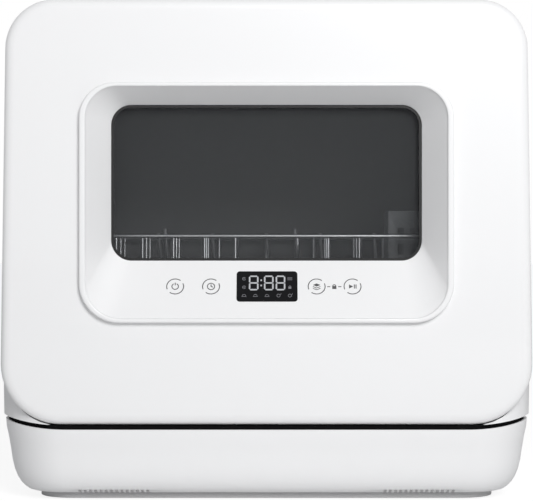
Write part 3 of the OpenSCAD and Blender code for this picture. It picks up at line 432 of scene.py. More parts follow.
def material(name, group, settings, **shader):
    """Material with one effect group and the plain values of its shader."""
    made = bpy.data.materials.new(name)
    tree = blank(made)
    principled = put(tree, "ShaderNodeBsdfPrincipled", **shader)
    effect = put(tree, "ShaderNodeGroup", {"node_tree": group}, **settings)
    for source, target in (("Colour", "Base Color"), ("Roughness", "Roughness"), ("Normal", "Normal")):
        tree.links.new(effect.outputs[source], principled.inputs[target])
    surface(tree, principled)
    return made


def with_alpha(colour):
    return (*colour, 1.0)


class Finishes:
    """The finishes of the dishwasher, each made once."""

    def __init__(self):
        c = bpy.context.scene.finish_colours
        skin, drawn = moulded_group(), drawn_metal_group()

        def plastic(name, colour, gloss, mottle=0.03, smudge=0.06, grain=900.0, depth=0.1, **shader):
            return material(name, skin, {"Colour": with_alpha(colour), "Gloss": gloss, "Mottle": mottle,
                                         "Smudge": smudge, "Grain": grain, "Depth": depth}, **shader)

        def metal(name, colour, gloss, stretch, streaks=0.25):
            return material(name, drawn, {"Colour": with_alpha(colour), "Gloss": gloss, "Stretch": stretch,
                                          "Streaks": streaks}, Metallic=1.0)

        self.shell = plastic("gloss_white", c.shell, 0.30, 0.006, 0.015, 420.0, 0.03, Coat_Weight=0.2)
        self.base = plastic("satin_white", c.base, 0.36, 0.01, 0.02, 700.0, 0.06)
        # Painted shade: the plinth's pale grey stands for the shadow on its white plastic under the base's
        # overhang.
        self.plinth = plastic("plinth_grey", c.plinth, 0.5, 0.04, 0.08, 1200.0, 0.2)
        self.lining = plastic("matt_white", (0.70, 0.71, 0.72), 0.5, 0.05, 0.1, 1400.0, 0.2)
        self.grey = plastic("matt_grey", c.grey, 0.55, 0.05, 0.1, 1200.0, 0.25)
        self.tub = plastic("satin_tub", c.tub, 0.38, 0.08, 0.12, 800.0, 0.12)
        self.dark = plastic("dark_moulding", c.dark, 0.45, 0.05, 0.12, 1200.0, 0.25)
        self.black = plastic("seam_black", (0.003, 0.003, 0.0035), 0.9, 0.0, 0.1, 1500.0, 0.2,
                             Specular_IOR_Level=0.1)
        self.rubber = plastic("rubber", (0.018, 0.018, 0.019), 0.68, 0.08, 0.12, 2200.0, 0.35)
        self.hose = plastic("hose_rubber", (0.075, 0.078, 0.085), 0.6, 0.1, 0.12, 1500.0, 0.3)
        self.basket = plastic("basket_grey", (0.17, 0.18, 0.19), 0.45, 0.06, 0.1, 1300.0, 0.2)
        self.tank = plastic("milky_tank", (0.62, 0.65, 0.68), 0.4, 0.08, 0.08, 500.0, 0.1,
                            Subsurface_Weight=0.15)
        self.panel = plastic("painted_sheet", (0.50, 0.50, 0.51), 0.42, 0.04, 0.08, 2600.0, 0.3)
        self.board = plastic("board_green", (0.012, 0.085, 0.035), 0.4, 0.3, 0.1, 260.0, 0.6)
        self.steel = metal("bright_steel", c.steel, 0.26, (60.0, 1500.0, 1500.0))
        self.wire = metal("rack_wire", (0.56, 0.57, 0.59), 0.30, (300.0, 300.0, 300.0), 0.15)
        self.brass = metal("contact_brass", (0.65, 0.44, 0.16), 0.3, (900.0, 60.0, 900.0))
        self.lens = plastic("display_lens", (0.003, 0.003, 0.004), 0.1, 0.02, 0.02, 400.0, 0.01,
                            Specular_IOR_Level=0.1)
        self.ink = plastic("printed_ink", c.print_ink, 0.5, 0.05, 0.1, 1800.0, 0.1)
        self.frit = plastic("glass_border", (0.010, 0.010, 0.011), 0.2, 0.0, 0.03, 900.0, 0.05)
        self.glow = plastic("display_light", c.glow, 0.4, 0.0, 0.0, 900.0, 0.0,
                            Emission_Color=with_alpha(c.glow), Emission_Strength=0.2)
        self.dim_glow = plastic("display_icons", (0.10, 0.10, 0.11), 0.4, 0.0, 0.0, 900.0, 0.0,
                                Emission_Color=(0.3, 0.3, 0.33, 1), Emission_Strength=0.25)
        self.tinted = plastic("tinted_glass", (0.03, 0.031, 0.033), 0.03, 0.02, 0.02, 60.0, 0.01,
                              Alpha=0.16, Specular_IOR_Level=0.08)
        self.clear = plastic("clear_pane", (0.5, 0.52, 0.54), 0.03, 0.02, 0.02, 60.0, 0.01, Alpha=0.06,
                             Specular_IOR_Level=0.08)


# ------------------------------------------------------------------ geometry node helpers

def modifier_mesh(name, carrier, tree, values):
    """Runs a geometry tree on an object and returns the result as a plain object."""
    work = carrier.modifiers.new("shape", "NODES")
    work.node_group = tree
    for item in tree.interface.items_tree:
        if item.item_type == "SOCKET" and item.in_out == "INPUT" and item.name in values:
            work[item.identifier] = values[item.name]
    mesh = bpy.data.meshes.new_from_object(carrier.evaluated_get(bpy.context.evaluated_depsgraph_get()))
    mesh.name = name
    data = carrier.data
    bpy.data.objects.remove(carrier)
    (bpy.data.curves if isinstance(data, bpy.types.Curve) else bpy.data.meshes).remove(data)
    return new_object(name, mesh)


def geometry_tree(name, inputs):
    sockets = {"Geometry": ("NodeSocketGeometry", None), **inputs}
    return new_group(name, sockets, {"Geometry": "NodeSocketGeometry"}, "GeometryNodeTree")


def finish_tree(tree, end, geometry, finish):
    """Ends a tree in real geometry with its material."""
    real = put(tree, "GeometryNodeRealizeInstances", Geometry=geometry).outputs[0]
    shaded = put(tree, "GeometryNodeSetMaterial", Geometry=real, Material=finish).outputs[0]
    tree.links.new(shaded, end.inputs[0])


def circle(tree, radius, sides):
    return put(tree, "GeometryNodeCurvePrimitiveCircle", {"mode": "RADIUS"}, Radius=radius,
               Resolution=sides).outputs[0]


def vector(tree, **parts):
    return put(tree, "ShaderNodeCombineXYZ", **parts).outputs[0]


def moved(tree, geometry, way):
    return put(tree, "GeometryNodeTransform", Geometry=geometry, Translation=way).outputs[0]


def placed(tree, points, thing, turn=0.0):
    """The thing on every point, turned about X by some degrees."""
    return put(tree, "GeometryNodeInstanceOnPoints", Points=points, Instance=thing,
               Rotation=(math.radians(turn), 0.0, 0.0)).outputs[0]


def joined_geometry(tree, parts):
    both = put(tree, "GeometryNodeJoinGeometry")
    for part in parts:
        tree.links.new(part, both.inputs[0])
    return both.outputs[0]


def difference(tree, whole, tool):
    return put(tree, "GeometryNodeMeshBoolean", {"operation": "DIFFERENCE", "solver": "EXACT"},
               Mesh_1=whole, Mesh_2=tool).outputs[0]


def wire_tree(finish):
    """Turns drawn lines into round wires."""
    tree, start, end = geometry_tree("Rack wires", {"Wire radius": (NUMBER, 0.0016),
                                                    "Sides": ("NodeSocketInt", 10)})
    profile = circle(tree, start.outputs["Wire radius"], start.outputs["Sides"])
    tube = put(tree, "GeometryNodeCurveToMesh", Curve=start.outputs["Geometry"], Profile_Curve=profile,
               Fill_Caps=True).outputs[0]
    finish_tree(tree, end, tube, finish)
    return tree


def ring_tree(finish):
    """Sets round ridges along the points of a line, as a thread or the ribs of a sleeve."""
    tree, start, end = geometry_tree("Ridges", {"Ridge radius": (NUMBER, 0.013), "Ridge": (NUMBER, 0.0004),
                                                "Turns": ("NodeSocketInt", 8), "Pitch": (NUMBER, 0.0018)})
    line = put(tree, "GeometryNodeMeshLine", {"mode": "OFFSET"}, Count=start.outputs["Turns"],
               Offset=vector(tree, Y=start.outputs["Pitch"])).outputs[0]
    hoop = put(tree, "GeometryNodeCurveToMesh", Curve=circle(tree, start.outputs["Ridge radius"], 48),
               Profile_Curve=circle(tree, start.outputs["Ridge"], 6)).outputs[0]
    finish_tree(tree, end, placed(tree, start.outputs["Geometry"], placed(tree, line, hoop, 90)), finish)
    return tree


def slot_tree(finish):
    """Cuts two mirrored rows of slots through a moulding."""
    tree, start, end = geometry_tree(
        "Vent slots", {"Slot": (VECTOR, (0.0025, 0.013, 0.014)), "First slot": (VECTOR, (0.1, -0.2, 0.006)),
                       "Pitch": (NUMBER, 0.00427), "Slots": ("NodeSocketInt", 15)})
    cutter = put(tree, "GeometryNodeMeshCube", Size=start.outputs["Slot"]).outputs[0]
    rows = []
    for side in (1.0, -1.0):
        first = put(tree, "ShaderNodeVectorMath", {"operation": "MULTIPLY"}, i0=start.outputs["First slot"],
                    i1=(side, 1.0, 1.0)).outputs[0]
        step = vector(tree, X=math_node(tree, "MULTIPLY", start.outputs["Pitch"], side))
        line = put(tree, "GeometryNodeMeshLine", {"mode": "OFFSET"}, Count=start.outputs["Slots"],
                   Start_Location=first, Offset=step).outputs[0]
        rows.append(placed(tree, line, cutter))
    tools = put(tree, "GeometryNodeRealizeInstances", Geometry=joined_geometry(tree, rows)).outputs[0]
    finish_tree(tree, end, difference(tree, start.outputs["Geometry"], tools), finish)
    return tree


def screw_tree(finish):
    """Sets a cross-head screw on every point, its head towards +Y."""
    tree, start, end = geometry_tree("Screws", {"Head radius": (NUMBER, 0.0032), "Head": (NUMBER, 0.0016),
                                                "Shank radius": (NUMBER, 0.0015), "Shank": (NUMBER, 0.012)})
    head = put(tree, "GeometryNodeMeshCylinder", Vertices=32, Radius=start.outputs["Head radius"],
               Depth=start.outputs["Head"]).outputs[0]
    head = moved(tree, head, vector(tree, Z=math_node(tree, "MULTIPLY", start.outputs["Head"], 0.5)))
    arm = math_node(tree, "MULTIPLY", start.outputs["Head radius"], 1.15)
    slim = math_node(tree, "MULTIPLY", start.outputs["Head radius"], 0.22)
    top = vector(tree, Z=start.outputs["Head"])
    for x, y in ((arm, slim), (slim, arm)):
        block = put(tree, "GeometryNodeMeshCube", Size=vector(tree, X=x, Y=y, Z=start.outputs["Head"]))
        head = difference(tree, head, moved(tree, block.outputs[0], top))
    shank = put(tree, "GeometryNodeMeshCylinder", Vertices=16, Radius=start.outputs["Shank radius"],
                Depth=start.outputs["Shank"]).outputs[0]
    shank = moved(tree, shank, vector(tree, Z=math_node(tree, "MULTIPLY", start.outputs["Shank"], -0.5)))
    screw = joined_geometry(tree, (head, shank))
    finish_tree(tree, end, placed(tree, start.outputs["Geometry"], screw, -90), finish)
    return tree


def point_cloud(name, points):
    """Object with nothing but points, in millimetres, for a tree to build on."""
    return new_object(name, loose_mesh(name, points, []))


def wire_lines(name, lines):
    """Curve object with one straight-segment line for each list of points, in millimetres."""
    curve = bpy.data.curves.new(name, "CURVE")
    curve.dimensions = "3D"
    for points, closed in lines:
        spline = curve.splines.new("POLY")
        spline.points.add(len(points) - 1)
        for spot, point in zip(spline.points, points):
            spot.co = (*[c * MM for c in point], 1.0)
        spline.use_cyclic_u = closed
    return new_object(name, curve)


# ------------------------------------------------------------------ operators

class OBJECT_OT_dishwasher_cabinet(bpy.types.Operator):
    """Finish the cabinet, the tub frame, the rear panel and the fill lid"""
    bl_idname = "object.dishwasher_cabinet"
    bl_label = "Cabinet"

    def execute(self, context):
        smooth_copy("cabinet_shell", MADE.shell, 32.0, flat=True)
        smooth_copy("fill_lid", MADE.shell, 38.0, 0.4)
        smooth_copy("front_frame", MADE.lining, 38.0, 0.3)
        smooth_copy("front_apron", MADE.grey, 38.0, 0.3)
        smooth_copy("rear_panel", MADE.panel, 38.0)
        for node in ("seam_ring", "catch_magnet"):
            refinish(node, MADE.black)
        for node in ("fill_lid_pin", "hinge_brackets", "hinge_pins"):
            smooth_copy(node, MADE.steel)
        return {"FINISHED"}


class OBJECT_OT_dishwasher_base(bpy.types.Operator):
    """Mould the bowl of the base housing with its vent slots, plinth and feet"""
    bl_idname = "object.dishwasher_base"
    bl_label = "Base housing"

    # inset of the wall at each part of the way down from the seam, in millimetres
    falls = ((0.0, 2.0), (0.12, 2.6), (0.24, 4.3), (0.42, 6.2), (0.58, 7.6), (0.70, 9.4), (0.80, 11.8),
             (0.88, 14.8), (0.94, 18.2), (0.98, 21.6), (1.0, 25.5))
    # millimetres: beyond the door, across the seam's rise, through the wall, and along a slot
    overhang, bend, wall, slot_depth, slot_start = 3.5, 58.0, 2.5, 23.0, 4.0
    # part of the way down where the inner skin stops
    skin_end = 0.94

    def execute(self, context):
        s = in_mm(context.scene.moulding_sizes)
        edge = self.falls[0][1]
        half = DOOR_HIGH.x + self.overhang
        front, back = BASE_LOW.y - edge, BASE_HIGH.y + edge

        def ring(inset, part):
            flat = outline(half - inset, half - inset, front + inset, back - inset,
                           s.plan_radius - inset, max(s.rear_radius - inset * 0.35, 2.0))
            points = []
            for x, y in flat:
                away = max(abs(x) - (half - self.bend), 0.0) / self.bend
                top = s.seam + s.seam_rise * away * away
                points.append((x, y, top + (s.plinth - top) * part))
            return points

        outer = [ring(inset, part) for part, inset in reversed(self.falls)]
        inner = [ring(inset + self.wall, min(part, self.skin_end)) for part, inset in self.falls]
        shell = new_object("base_bowl", body_mesh("base_bowl", outer + inner, False))
        tidy_mesh(shell.data, 40.0)
        deep, high = self.slot_depth, s.plinth + s.slot_rise
        shell = modifier_mesh("base_bowl", shell, slot_tree(MADE.base), {
            "Slot": (s.slot * MM, deep * MM, high * MM), "Pitch": s.slot_pitch * MM, "Slots": s.slots,
            "First slot": ((s.first_slot + s.slot / 2) * MM,
                           (BASE_LOW.y + self.slot_start + deep / 2) * MM, high / 2 * MM)})
        tidy_mesh(shell.data, 40.0)
        settle(shell, MADE.base, "base_housing")
        # The plinth takes the pale grey that paints its shade under the bowl.
        smooth_copy("base_plate", MADE.plinth, 38.0, 0.8)
        smooth_copy("rubber_feet", MADE.rubber, 38.0, 0.3)
        return {"FINISHED"}


class OBJECT_OT_dishwasher_door(bpy.types.Operator):
    """Mould the pillow of the door round the window, and finish the back of the door"""
    bl_idname = "object.dishwasher_door"
    bl_label = "Door"

    # millimetres: how far the window lip overlaps the opening, and by how much its corners are tighter
    lip_lap, tighter = 3.4, 3.0
    rim_round, lining_step = 0.8, 2.0
    # the brow turns in these steps, and later than a true round where its power is above 1
    brow_steps, brow_power = 12, 1.25
    # room for a hinge bracket beside it, in front of it and above it
    bracket_in, bracket_out, bracket_front, bracket_top = 3.2, 2.3, 1.8, 3.0

    def execute(self, context):
        s = in_mm(context.scene.moulding_sizes)
        face, rim = DOOR_LOW.y, DOOR_HIGH.y
        low_half = DOOR_HIGH.x
        top_half = low_half - s.shoulder

        def door_ring(inset, y):
            return front_ring(outline(top_half, low_half, DOOR_LOW.z, DOOR_HIGH.z, s.low_radius,
                                      s.top_radius, inset), y)

        def hole_ring(y):
            half = LIP_HIGH.x - self.lip_lap
            return front_ring(outline(half, half, LIP_LOW.z + self.lip_lap, LIP_HIGH.z - self.lip_lap,
                                      s.lip_radius, s.lip_radius - self.tighter), y)

        brow = [door_ring(self.rim_round, rim), door_ring(0.0, rim - self.rim_round)]
        brow += [door_ring(s.brow * inward, face + s.edge_depth * back ** self.brow_power)
                 for inward, back in roll(self.brow_steps)]
        flat = [between(brow[-1], hole_ring(face), part) for part in (0.35, 0.7)]
        outer = brow + flat + [hole_ring(face)]
        inner = [hole_ring(face + s.skin), door_ring(s.brow + s.skin, face + s.skin),
                 door_ring(s.skin + self.lining_step * 1.1, face + s.skin + self.lining_step),
                 door_ring(s.skin, face + s.skin + s.edge_depth), door_ring(s.skin, rim)]
        shell = new_object("door_pillow", body_mesh("door_pillow", outer + inner, True))
        tidy_mesh(shell.data, 42.0)
        arms_low, arms_high = span("hinge_brackets")
        sides = arms_high.x - self.bracket_in, arms_high.x + self.bracket_out
        cut(shell, [((min(side * x for x in sides), arms_low.y + self.bracket_front, 0.0),
                     (max(side * x for x in sides), 0.0, arms_high.z - self.bracket_top))
                    for side in (-1, 1)])
        tidy_mesh(shell.data, 42.0)
        settle(shell, MADE.shell, "door_shell")
        smooth_copy("door_liner", MADE.lining, 38.0)
        for node in ("hinge_arms", "catch_plate"):
            smooth_copy(node, MADE.steel, 38.0, 0.2)
        smooth_copy("dispenser_cup", MADE.lining, 38.0, 0.25)
        smooth_copy("dispenser_lid", MADE.grey, 38.0, 0.25)
        return {"FINISHED"}


class OBJECT_OT_dishwasher_window(bpy.types.Operator):
    """Mould the window lip and its sloping recess, and set the glass behind it"""
    bl_idname = "object.dishwasher_window"
    bl_label = "Window"

    # millimetres: the lip's bar along its top, its wall, and how far it stays off the door's face
    top_bar, wall, off_face = 3.4, 3.4, 0.4
    # how much wider the lip's lower corners are, and how much tighter the mouth's upper ones
    wider, tighter = 4.0, 3.0
    # thickness of the flange behind the glass opening, and of the slopes where they meet it
    flange, root = 2.0, 5.0
    # back and front of the printed border, before the glass
    print_back, print_front = 0.02, -0.05

    def execute(self, context):
        s = in_mm(context.scene.moulding_sizes)
        front, half = LIP_LOW.y, LIP_HIGH.x
        low, high, r = LIP_LOW.z, LIP_HIGH.z, s.lip_radius
        face = DOOR_LOW.y
        deep = front + s.recess
        floor = low + s.lip_width - LIP_SLIM

        def lip(inset, y):
            return front_ring(outline(half - inset, half - inset, low + inset, high - inset,
                                      r + self.wider - inset, r - inset), y)

        def mouth(grow, y):
            across = half - s.lip_width + grow
            return front_ring(outline(across, across, floor - grow, high - self.top_bar + grow, r + grow,
                                      r - self.tighter + grow), y)

        def pane(grow, y):
            across, corner = s.glass_half + grow, s.glass_radius + grow
            return front_ring(outline(across, across, s.glass_low - grow, s.glass_high + grow, corner,
                                      corner), y)

        e = s.lip_round
        rings = [lip(0.0, face + self.off_face)]
        rings += [lip(e * inward, front + e * back) for inward, back in roll(5)]
        rings += [mouth(e * inward * 0.9, front + e * back) for inward, back in roll(5, 90.0, 18.0)]
        rings[-1] = mouth(0.0, front + e)
        start, stop = mouth(0.0, front + e), pane(0.0, deep)
        rings += [between(start, stop, part) for part in (0.03, 0.2, 0.4, 0.6, 0.8, 0.97)]
        rings += [pane(0.0, deep), pane(0.0, deep + self.flange), pane(s.seat, deep + self.flange),
                  pane(s.seat, deep), pane(self.root, deep), lip(self.wall + 0.4, face + 1.0),
                  lip(self.wall, face + self.off_face)]
        settle(new_object("window_frame", tidy_mesh(body_mesh("window_frame", rings, True), 34.0)),
               MADE.shell, "window_bezel")
        glass = span("window_glass")[0].y
        back, fore = glass + self.print_back, glass + self.print_front
        band = [pane(0.0, back), pane(0.0, fore), pane(-s.border, fore), pane(-s.border, back)]
        border = new_object("glass_border", tidy_mesh(body_mesh("glass_border", band, True), 34.0))
        settle(border, MADE.frit, body="door")
        smooth_copy("window_glass", MADE.tinted)
        smooth_copy("inner_pane", MADE.clear)
        refinish("window_gasket", MADE.rubber)
        return {"FINISHED"}


class Slope:
    """The lower slope of the window recess: x across, v up along it, and how far out."""

    def __init__(self):
        s = in_mm(bpy.context.scene.moulding_sizes)
        self.foot = Vector((0.0, LIP_LOW.y + SLOPE_START, LIP_LOW.z + s.lip_width - LIP_SLIM))
        run, rise = s.recess - SLOPE_START, s.glass_low - self.foot.z
        self.up = Vector((0.0, run, rise)).normalized()
        self.out = Vector((0.0, -rise, run)).normalized()

    def at(self, x, v, out):
        return self.foot + Vector((x, 0.0, 0.0)) + self.up * v + self.out * out


def prints(name, shapes, finish, low, high, slot):
    """Flat printed shapes on the slope; each shape is a list of (x, v) points, turned anticlockwise."""
    slope = Slope()
    points, faces = [], []
    for shape in shapes:
        n, m = len(points), len(shape)
        points += [slope.at(x, v, high) for x, v in shape] + [slope.at(x, v, low) for x, v in shape]
        faces.append(tuple(range(n, n + m)))
        faces.append(tuple(range(n + 2 * m - 1, n + m - 1, -1)))
        faces += [(n + k, n + m + k, n + m + (k + 1) % m, n + (k + 1) % m) for k in range(m)]
    thing = new_object(name, loose_mesh(name, points, faces))
    tidy_mesh(thing.data, 30.0)
    settle(thing, finish, body="door")


def arc_band(x, v, r, line, start, stop, steps=22):
    """Curved bar from one angle to another, as shapes for prints."""
    shapes = []
    for k in range(steps):
        a, b = (math.radians(start + (stop - start) * i / steps) for i in (k, k + 1))
        shapes.append([(x + away * math.cos(turn), v + away * math.sin(turn))
                       for away, turn in ((r - line / 2, a), (r + line / 2, a),
                                          (r + line / 2, b), (r - line / 2, b))])
    return shapes


def bar(x0, v0, x1, v1, line):
    """Straight bar between two points."""
    way = Vector((x1 - x0, v1 - v0)).normalized() * line / 2
    side = Vector((-way.y, way.x))
    return [(x0 - side.x, v0 - side.y), (x1 - side.x, v1 - side.y), (x1 + side.x, v1 + side.y),
            (x0 + side.x, v0 + side.y)]


def rectangle(x, v, w, h):
    return [(x - w / 2, v - h / 2), (x + w / 2, v - h / 2), (x + w / 2, v + h / 2), (x - w / 2, v + h / 2)]


def diamond(x, v, w, h):
    return [(x - w / 2, v), (x, v - h / 2), (x + w / 2, v), (x, v + h / 2)]


class OBJECT_OT_dishwasher_controls(bpy.types.Operator):
    """Print the touch rings and light the display"""
    bl_idname = "object.dishwasher_controls"
    bl_label = "Controls and display"

    # how far out of the slope the ink, the digits and the symbols reach, in millimetres
    ink, digits, symbols = (0.0, 0.06), (0.2, 0.26), (0.2, 0.25)
    # places along the slope and up it, in millimetres
    touch = (-75.6, -45.9, 41.5, 71.2)
    middle = 29.5
    lock_x = 56.1
    digit_x = (-14.6, -2.1, 7.6)
    digit_v = 25.8
    icon_x = (-18.6, -9.2, 0.4, 9.9, 19.3)
    icon_v = (20.9, 28.6, 36.6)

    def execute(self, context):
        s = in_mm(context.scene.control_sizes)
        line, v = s.ring_line, self.middle
        marks = []
        for x in self.touch:
            marks += arc_band(x, v, s.ring, line, 52, 202) + arc_band(x, v, s.ring, line, 232, 384)
        power, delay, program, start = self.touch
        marks += arc_band(power, v, 2.7, line, 118, 422) + [rectangle(power, v + 2.3, line, 2.4)]
        marks += arc_band(delay, v, 3.0, line, 0, 360)
        marks += [bar(delay, v - 0.2, delay, v + 2.0, line), bar(delay, v, delay + 1.5, v - 0.6, line)]
        marks += [diamond(program, v + 1.4, 6.2, 2.8)]
        for drop in (0.6, 2.2):
            marks += [bar(program - 3.1, v - drop + 0.5, program, v - drop - 0.9, line * 0.8),
                      bar(program, v - drop - 0.9, program + 3.1, v - drop + 0.5, line * 0.8)]
        marks += [[(start - 2.9, v - 1.9), (start + 0.5, v), (start - 2.9, v + 1.9)]]
        marks += [rectangle(start + 1.5, v, line, 3.8), rectangle(start + 2.9, v, line, 3.8)]
        marks += [rectangle(self.lock_x, v - 0.9, 3.4, 2.8)]
        marks += arc_band(self.lock_x, v + 0.5, 1.2, line * 0.9, 0, 180, 8)
        marks += [rectangle(self.lock_x + side * 4.6, v - 0.2, 2.6, line) for side in (-1, 1)]
        prints("touch_marks", marks, MADE.ink, *self.ink, "plinth_grey")
        self.display(s)
        smooth_copy("display_lens", MADE.lens, 30.0)
        refinish("touch_pads", MADE.brass)
        refinish("control_board", MADE.board)
        return {"FINISHED"}

    def display(self, s):
        """Seven-segment digits, a colon and small symbols under the lens."""
        w, h, t = s.digit_width, s.digit_height, s.stroke
        bars = []
        for x in self.digit_x:
            for level in (0.0, 0.5, 1.0):
                y = self.digit_v + t / 2 + (h - t) * level
                a, b = x + t * 0.62, x + w - t * 0.62
                bars.append([(a, y), (a + t / 2, y - t / 2), (b - t / 2, y - t / 2), (b, y),
                             (b - t / 2, y + t / 2), (a + t / 2, y + t / 2)])
            for side in (t / 2, w - t / 2):
                for level in (0.0, 0.5):
                    low = self.digit_v + t / 2 + (h - t) * level + 0.25
                    high = low + (h - t) / 2 - 0.5
                    c = x + side
                    bars.append([(c, low), (c + t / 2, low + t / 2), (c + t / 2, high - t / 2), (c, high),
                                 (c - t / 2, high - t / 2), (c - t / 2, low + t / 2)])
        colon = self.digit_x[0] + w + 2.2
        bars += [rectangle(colon, self.digit_v + h * part, 1.2, 1.5) for part in (0.33, 0.68)]
        prints("display_digits", bars, MADE.glow, *self.digits, "display_black")
        signs = []
        left, low = self.icon_x[0], self.icon_v[0]
        for x in self.icon_x[:3]:
            signs += [rectangle(x, low - 0.9, 4.0, 0.4)] + arc_band(x, low - 0.4, 1.5, 0.4, 0, 180, 8)
        for x in self.icon_x[3:]:
            signs += arc_band(x, low, 1.4, 0.4, 0, 360, 10)
            signs.append(bar(x + 0.9, low + 0.6, x + 2.4, low + 1.8, 0.4))
        for level in self.icon_v[1:]:
            signs += arc_band(left, level, 1.3, 0.45, 20, 340, 10) + [rectangle(left, level, 1.6, 0.4)]
        right = self.icon_x[4]
        signs += [bar(right - 2, self.icon_v[2] + k, right + 2, self.icon_v[2] + k, 0.4) for k in (-1, 0, 1)]
        signs += [rectangle(right, self.icon_v[1] - 0.4, 2.4, 1.9)]
        signs += arc_band(right, self.icon_v[1] + 0.5, 0.9, 0.4, 0, 180, 6)
        prints("display_symbols", signs, MADE.dim_glow, *self.symbols, "display_black")


class OBJECT_OT_dishwasher_rack(bpy.types.Operator):
    """Bend the wires of the rack, and finish its rails, rollers and cutlery basket"""
    bl_idname = "object.dishwasher_rack"
    bl_label = "Rack"

    # millimetres: gap at a weld, height of the upper loop over the lower one, and the loops' corners
    weld, height, rim_corner, floor_corner = 0.03, 53.0, 16.0, 12.0
    # how far the lower loop lies inside the upper one, at the sides, in front and behind
    in_side, in_front, in_back = 8.0, 12.0, 7.0
    # spacing of the uprights, how far the front ones lean, and the taller posts beside the basket
    upright_pitch, front_lean, posts, post_over = 46.5, 4.3, (-87.0, 25.0), 6.0
    # rows of tines and further cross wires behind the front, and how far tines and sides lean back
    rows, crosses, tine_lean, side_lean = (77, 132, 187), (48, 212), 6, 8
    # the first row of tines stops here, at the cutlery basket
    basket_x = 90

    def loop(self, half, y0, y1, z, r):
        flat = []
        for turn, x, y in ((0, half - r, y1 - r), (90, r - half, y1 - r), (180, r - half, y0 + r),
                           (270, half - r, y0 + r)):
            flat += fan(x, y, r, turn, 8)
        return [(x, y, z) for x, y in flat], True

    def upright(self, low, high, side, beside, over):
        """Straight wire beside two loops, on the side that a direction names, and over the upper one."""
        low, high, side = Vector(low), Vector(high), Vector(side)
        way = (high - low).normalized()
        off = (side - way * side.dot(way)).normalized() * beside
        return [tuple(low + off - way), tuple(high + off + way * over)], False

    def execute(self, context):
        s = in_mm(context.scene.rack_sizes)
        heavy, slim, weld = s.rim_wire, s.thin_wire, self.weld
        half = RACK_HIGH.x - heavy
        front, back = RACK_LOW.y + heavy, RACK_HIGH.y - heavy
        long_z = RACK_LOW.z + slim
        cross_z = long_z + 2 * slim + weld
        floor = long_z + heavy + slim + weld
        rim = floor + self.height
        beside = heavy + slim + weld
        low_half, low_front, low_back = half - self.in_side, front + self.in_front, back - self.in_back
        thick = [self.loop(half, front, back, rim, self.rim_corner),
                 self.loop(low_half, low_front, low_back, floor, self.floor_corner)]
        thin = []
        spread = [k * self.upright_pitch for k in range(-3, 4)]
        for x, over in [(x, heavy) for x in spread] + [(x, self.post_over) for x in self.posts]:
            thin.append(self.upright((x + self.front_lean, low_front, floor), (x, front, rim), (0, 1, 0),
                                     beside, over))
        thin += [self.upright((x, low_back, floor), (x, back, rim), (0, -1, 0), beside, heavy)
                 for x in spread]
        rows = [front + step for step in self.rows]
        butt = low_half - heavy - weld
        first, last = (front + step for step in self.crosses)
        for y in [first] + [row - 2 * slim - weld for row in rows] + [last]:
            stand = y + self.side_lean
            thin += [self.upright((side * low_half, stand, floor), (side * half, stand, rim),
                                  (-side, 0, 0), beside, heavy) for side in (-1, 1)]
            thin.append(([(-butt, y, cross_z), (butt, y, cross_z)], False))
        for k in range(-5, 6):
            x = k * s.pitch
            thin.append(([(x, low_front - slim, long_z), (x, low_back + slim, long_z)], False))
            for row, y in enumerate(rows):
                if x < self.basket_x or row:
                    thin.append(([(x, y, long_z + slim + weld + 0.2),
                                  (x, y + self.tine_lean, floor + s.tine)], False))
        tree = wire_tree(MADE.wire)
        parts = [modifier_mesh("wires", wire_lines("wires", lines), tree,
                               {"Wire radius": r * MM, "Sides": sides})
                 for lines, r, sides in ((thick, heavy, 14), (thin, s.thin_wire, 10))]
        joined = join(parts, "rack_wires")
        tidy_mesh(joined.data, 50.0, outward=False)
        settle(joined, MADE.wire, "rack_frame")
        smooth_copy("rack_rails", MADE.lining, 38.0, 0.15)
        smooth_copy("cutlery_basket", MADE.basket, 38.0, 0.3)
        for node in frame["nodes"]:
            if node.startswith("roller_") and node != "roller_axles":
                smooth_copy(node, MADE.lining, 38.0, 0.4)
        smooth_copy("roller_axles", MADE.steel, 38.0, 0.2)
        return {"FINISHED"}


def join(parts, name):
    """One object from several plain ones."""
    work = bmesh.new()
    for part in parts:
        work.from_mesh(part.data)
        bpy.data.objects.remove(part)
    mesh = bpy.data.meshes.new(name)
    work.to_mesh(mesh)
    work.free()
    return new_object(name, mesh)


class OBJECT_OT_dishwasher_wash(bpy.types.Operator):
    """Finish the tub, the spray arm, the filter and the pumps, hoses and tank behind them"""
    bl_idname = "object.dishwasher_wash"
    bl_label = "Tub and wash parts"

    def execute(self, context):
        smooth_copy("tub", MADE.tub, 30.0, flat=True)
        refinish("tub_seal", MADE.rubber)
        smooth_copy("spray_arm", MADE.grey, 38.0, 0.8)
        smooth_copy("spray_post", MADE.lining)
        smooth_copy("filter_plate", MADE.steel)
        smooth_copy("filter_cup", MADE.grey, 38.0, 0.2)
        for node in ("sump", "wash_pump_housing", "wash_pump_motor", "drain_pump_housing",
                     "drain_pump_motor", "fan_housing"):
            smooth_copy(node, MADE.dark)
        for node in ("wash_impeller", "drain_impeller", "fan_impeller"):
            smooth_copy(node, MADE.lining)
        smooth_copy("flow_heater", MADE.steel)
        smooth_copy("hoses", MADE.hose, 60.0)
        smooth_copy("water_tank", MADE.tank)
        refinish("main_board", MADE.board)
        return {"FINISHED"}


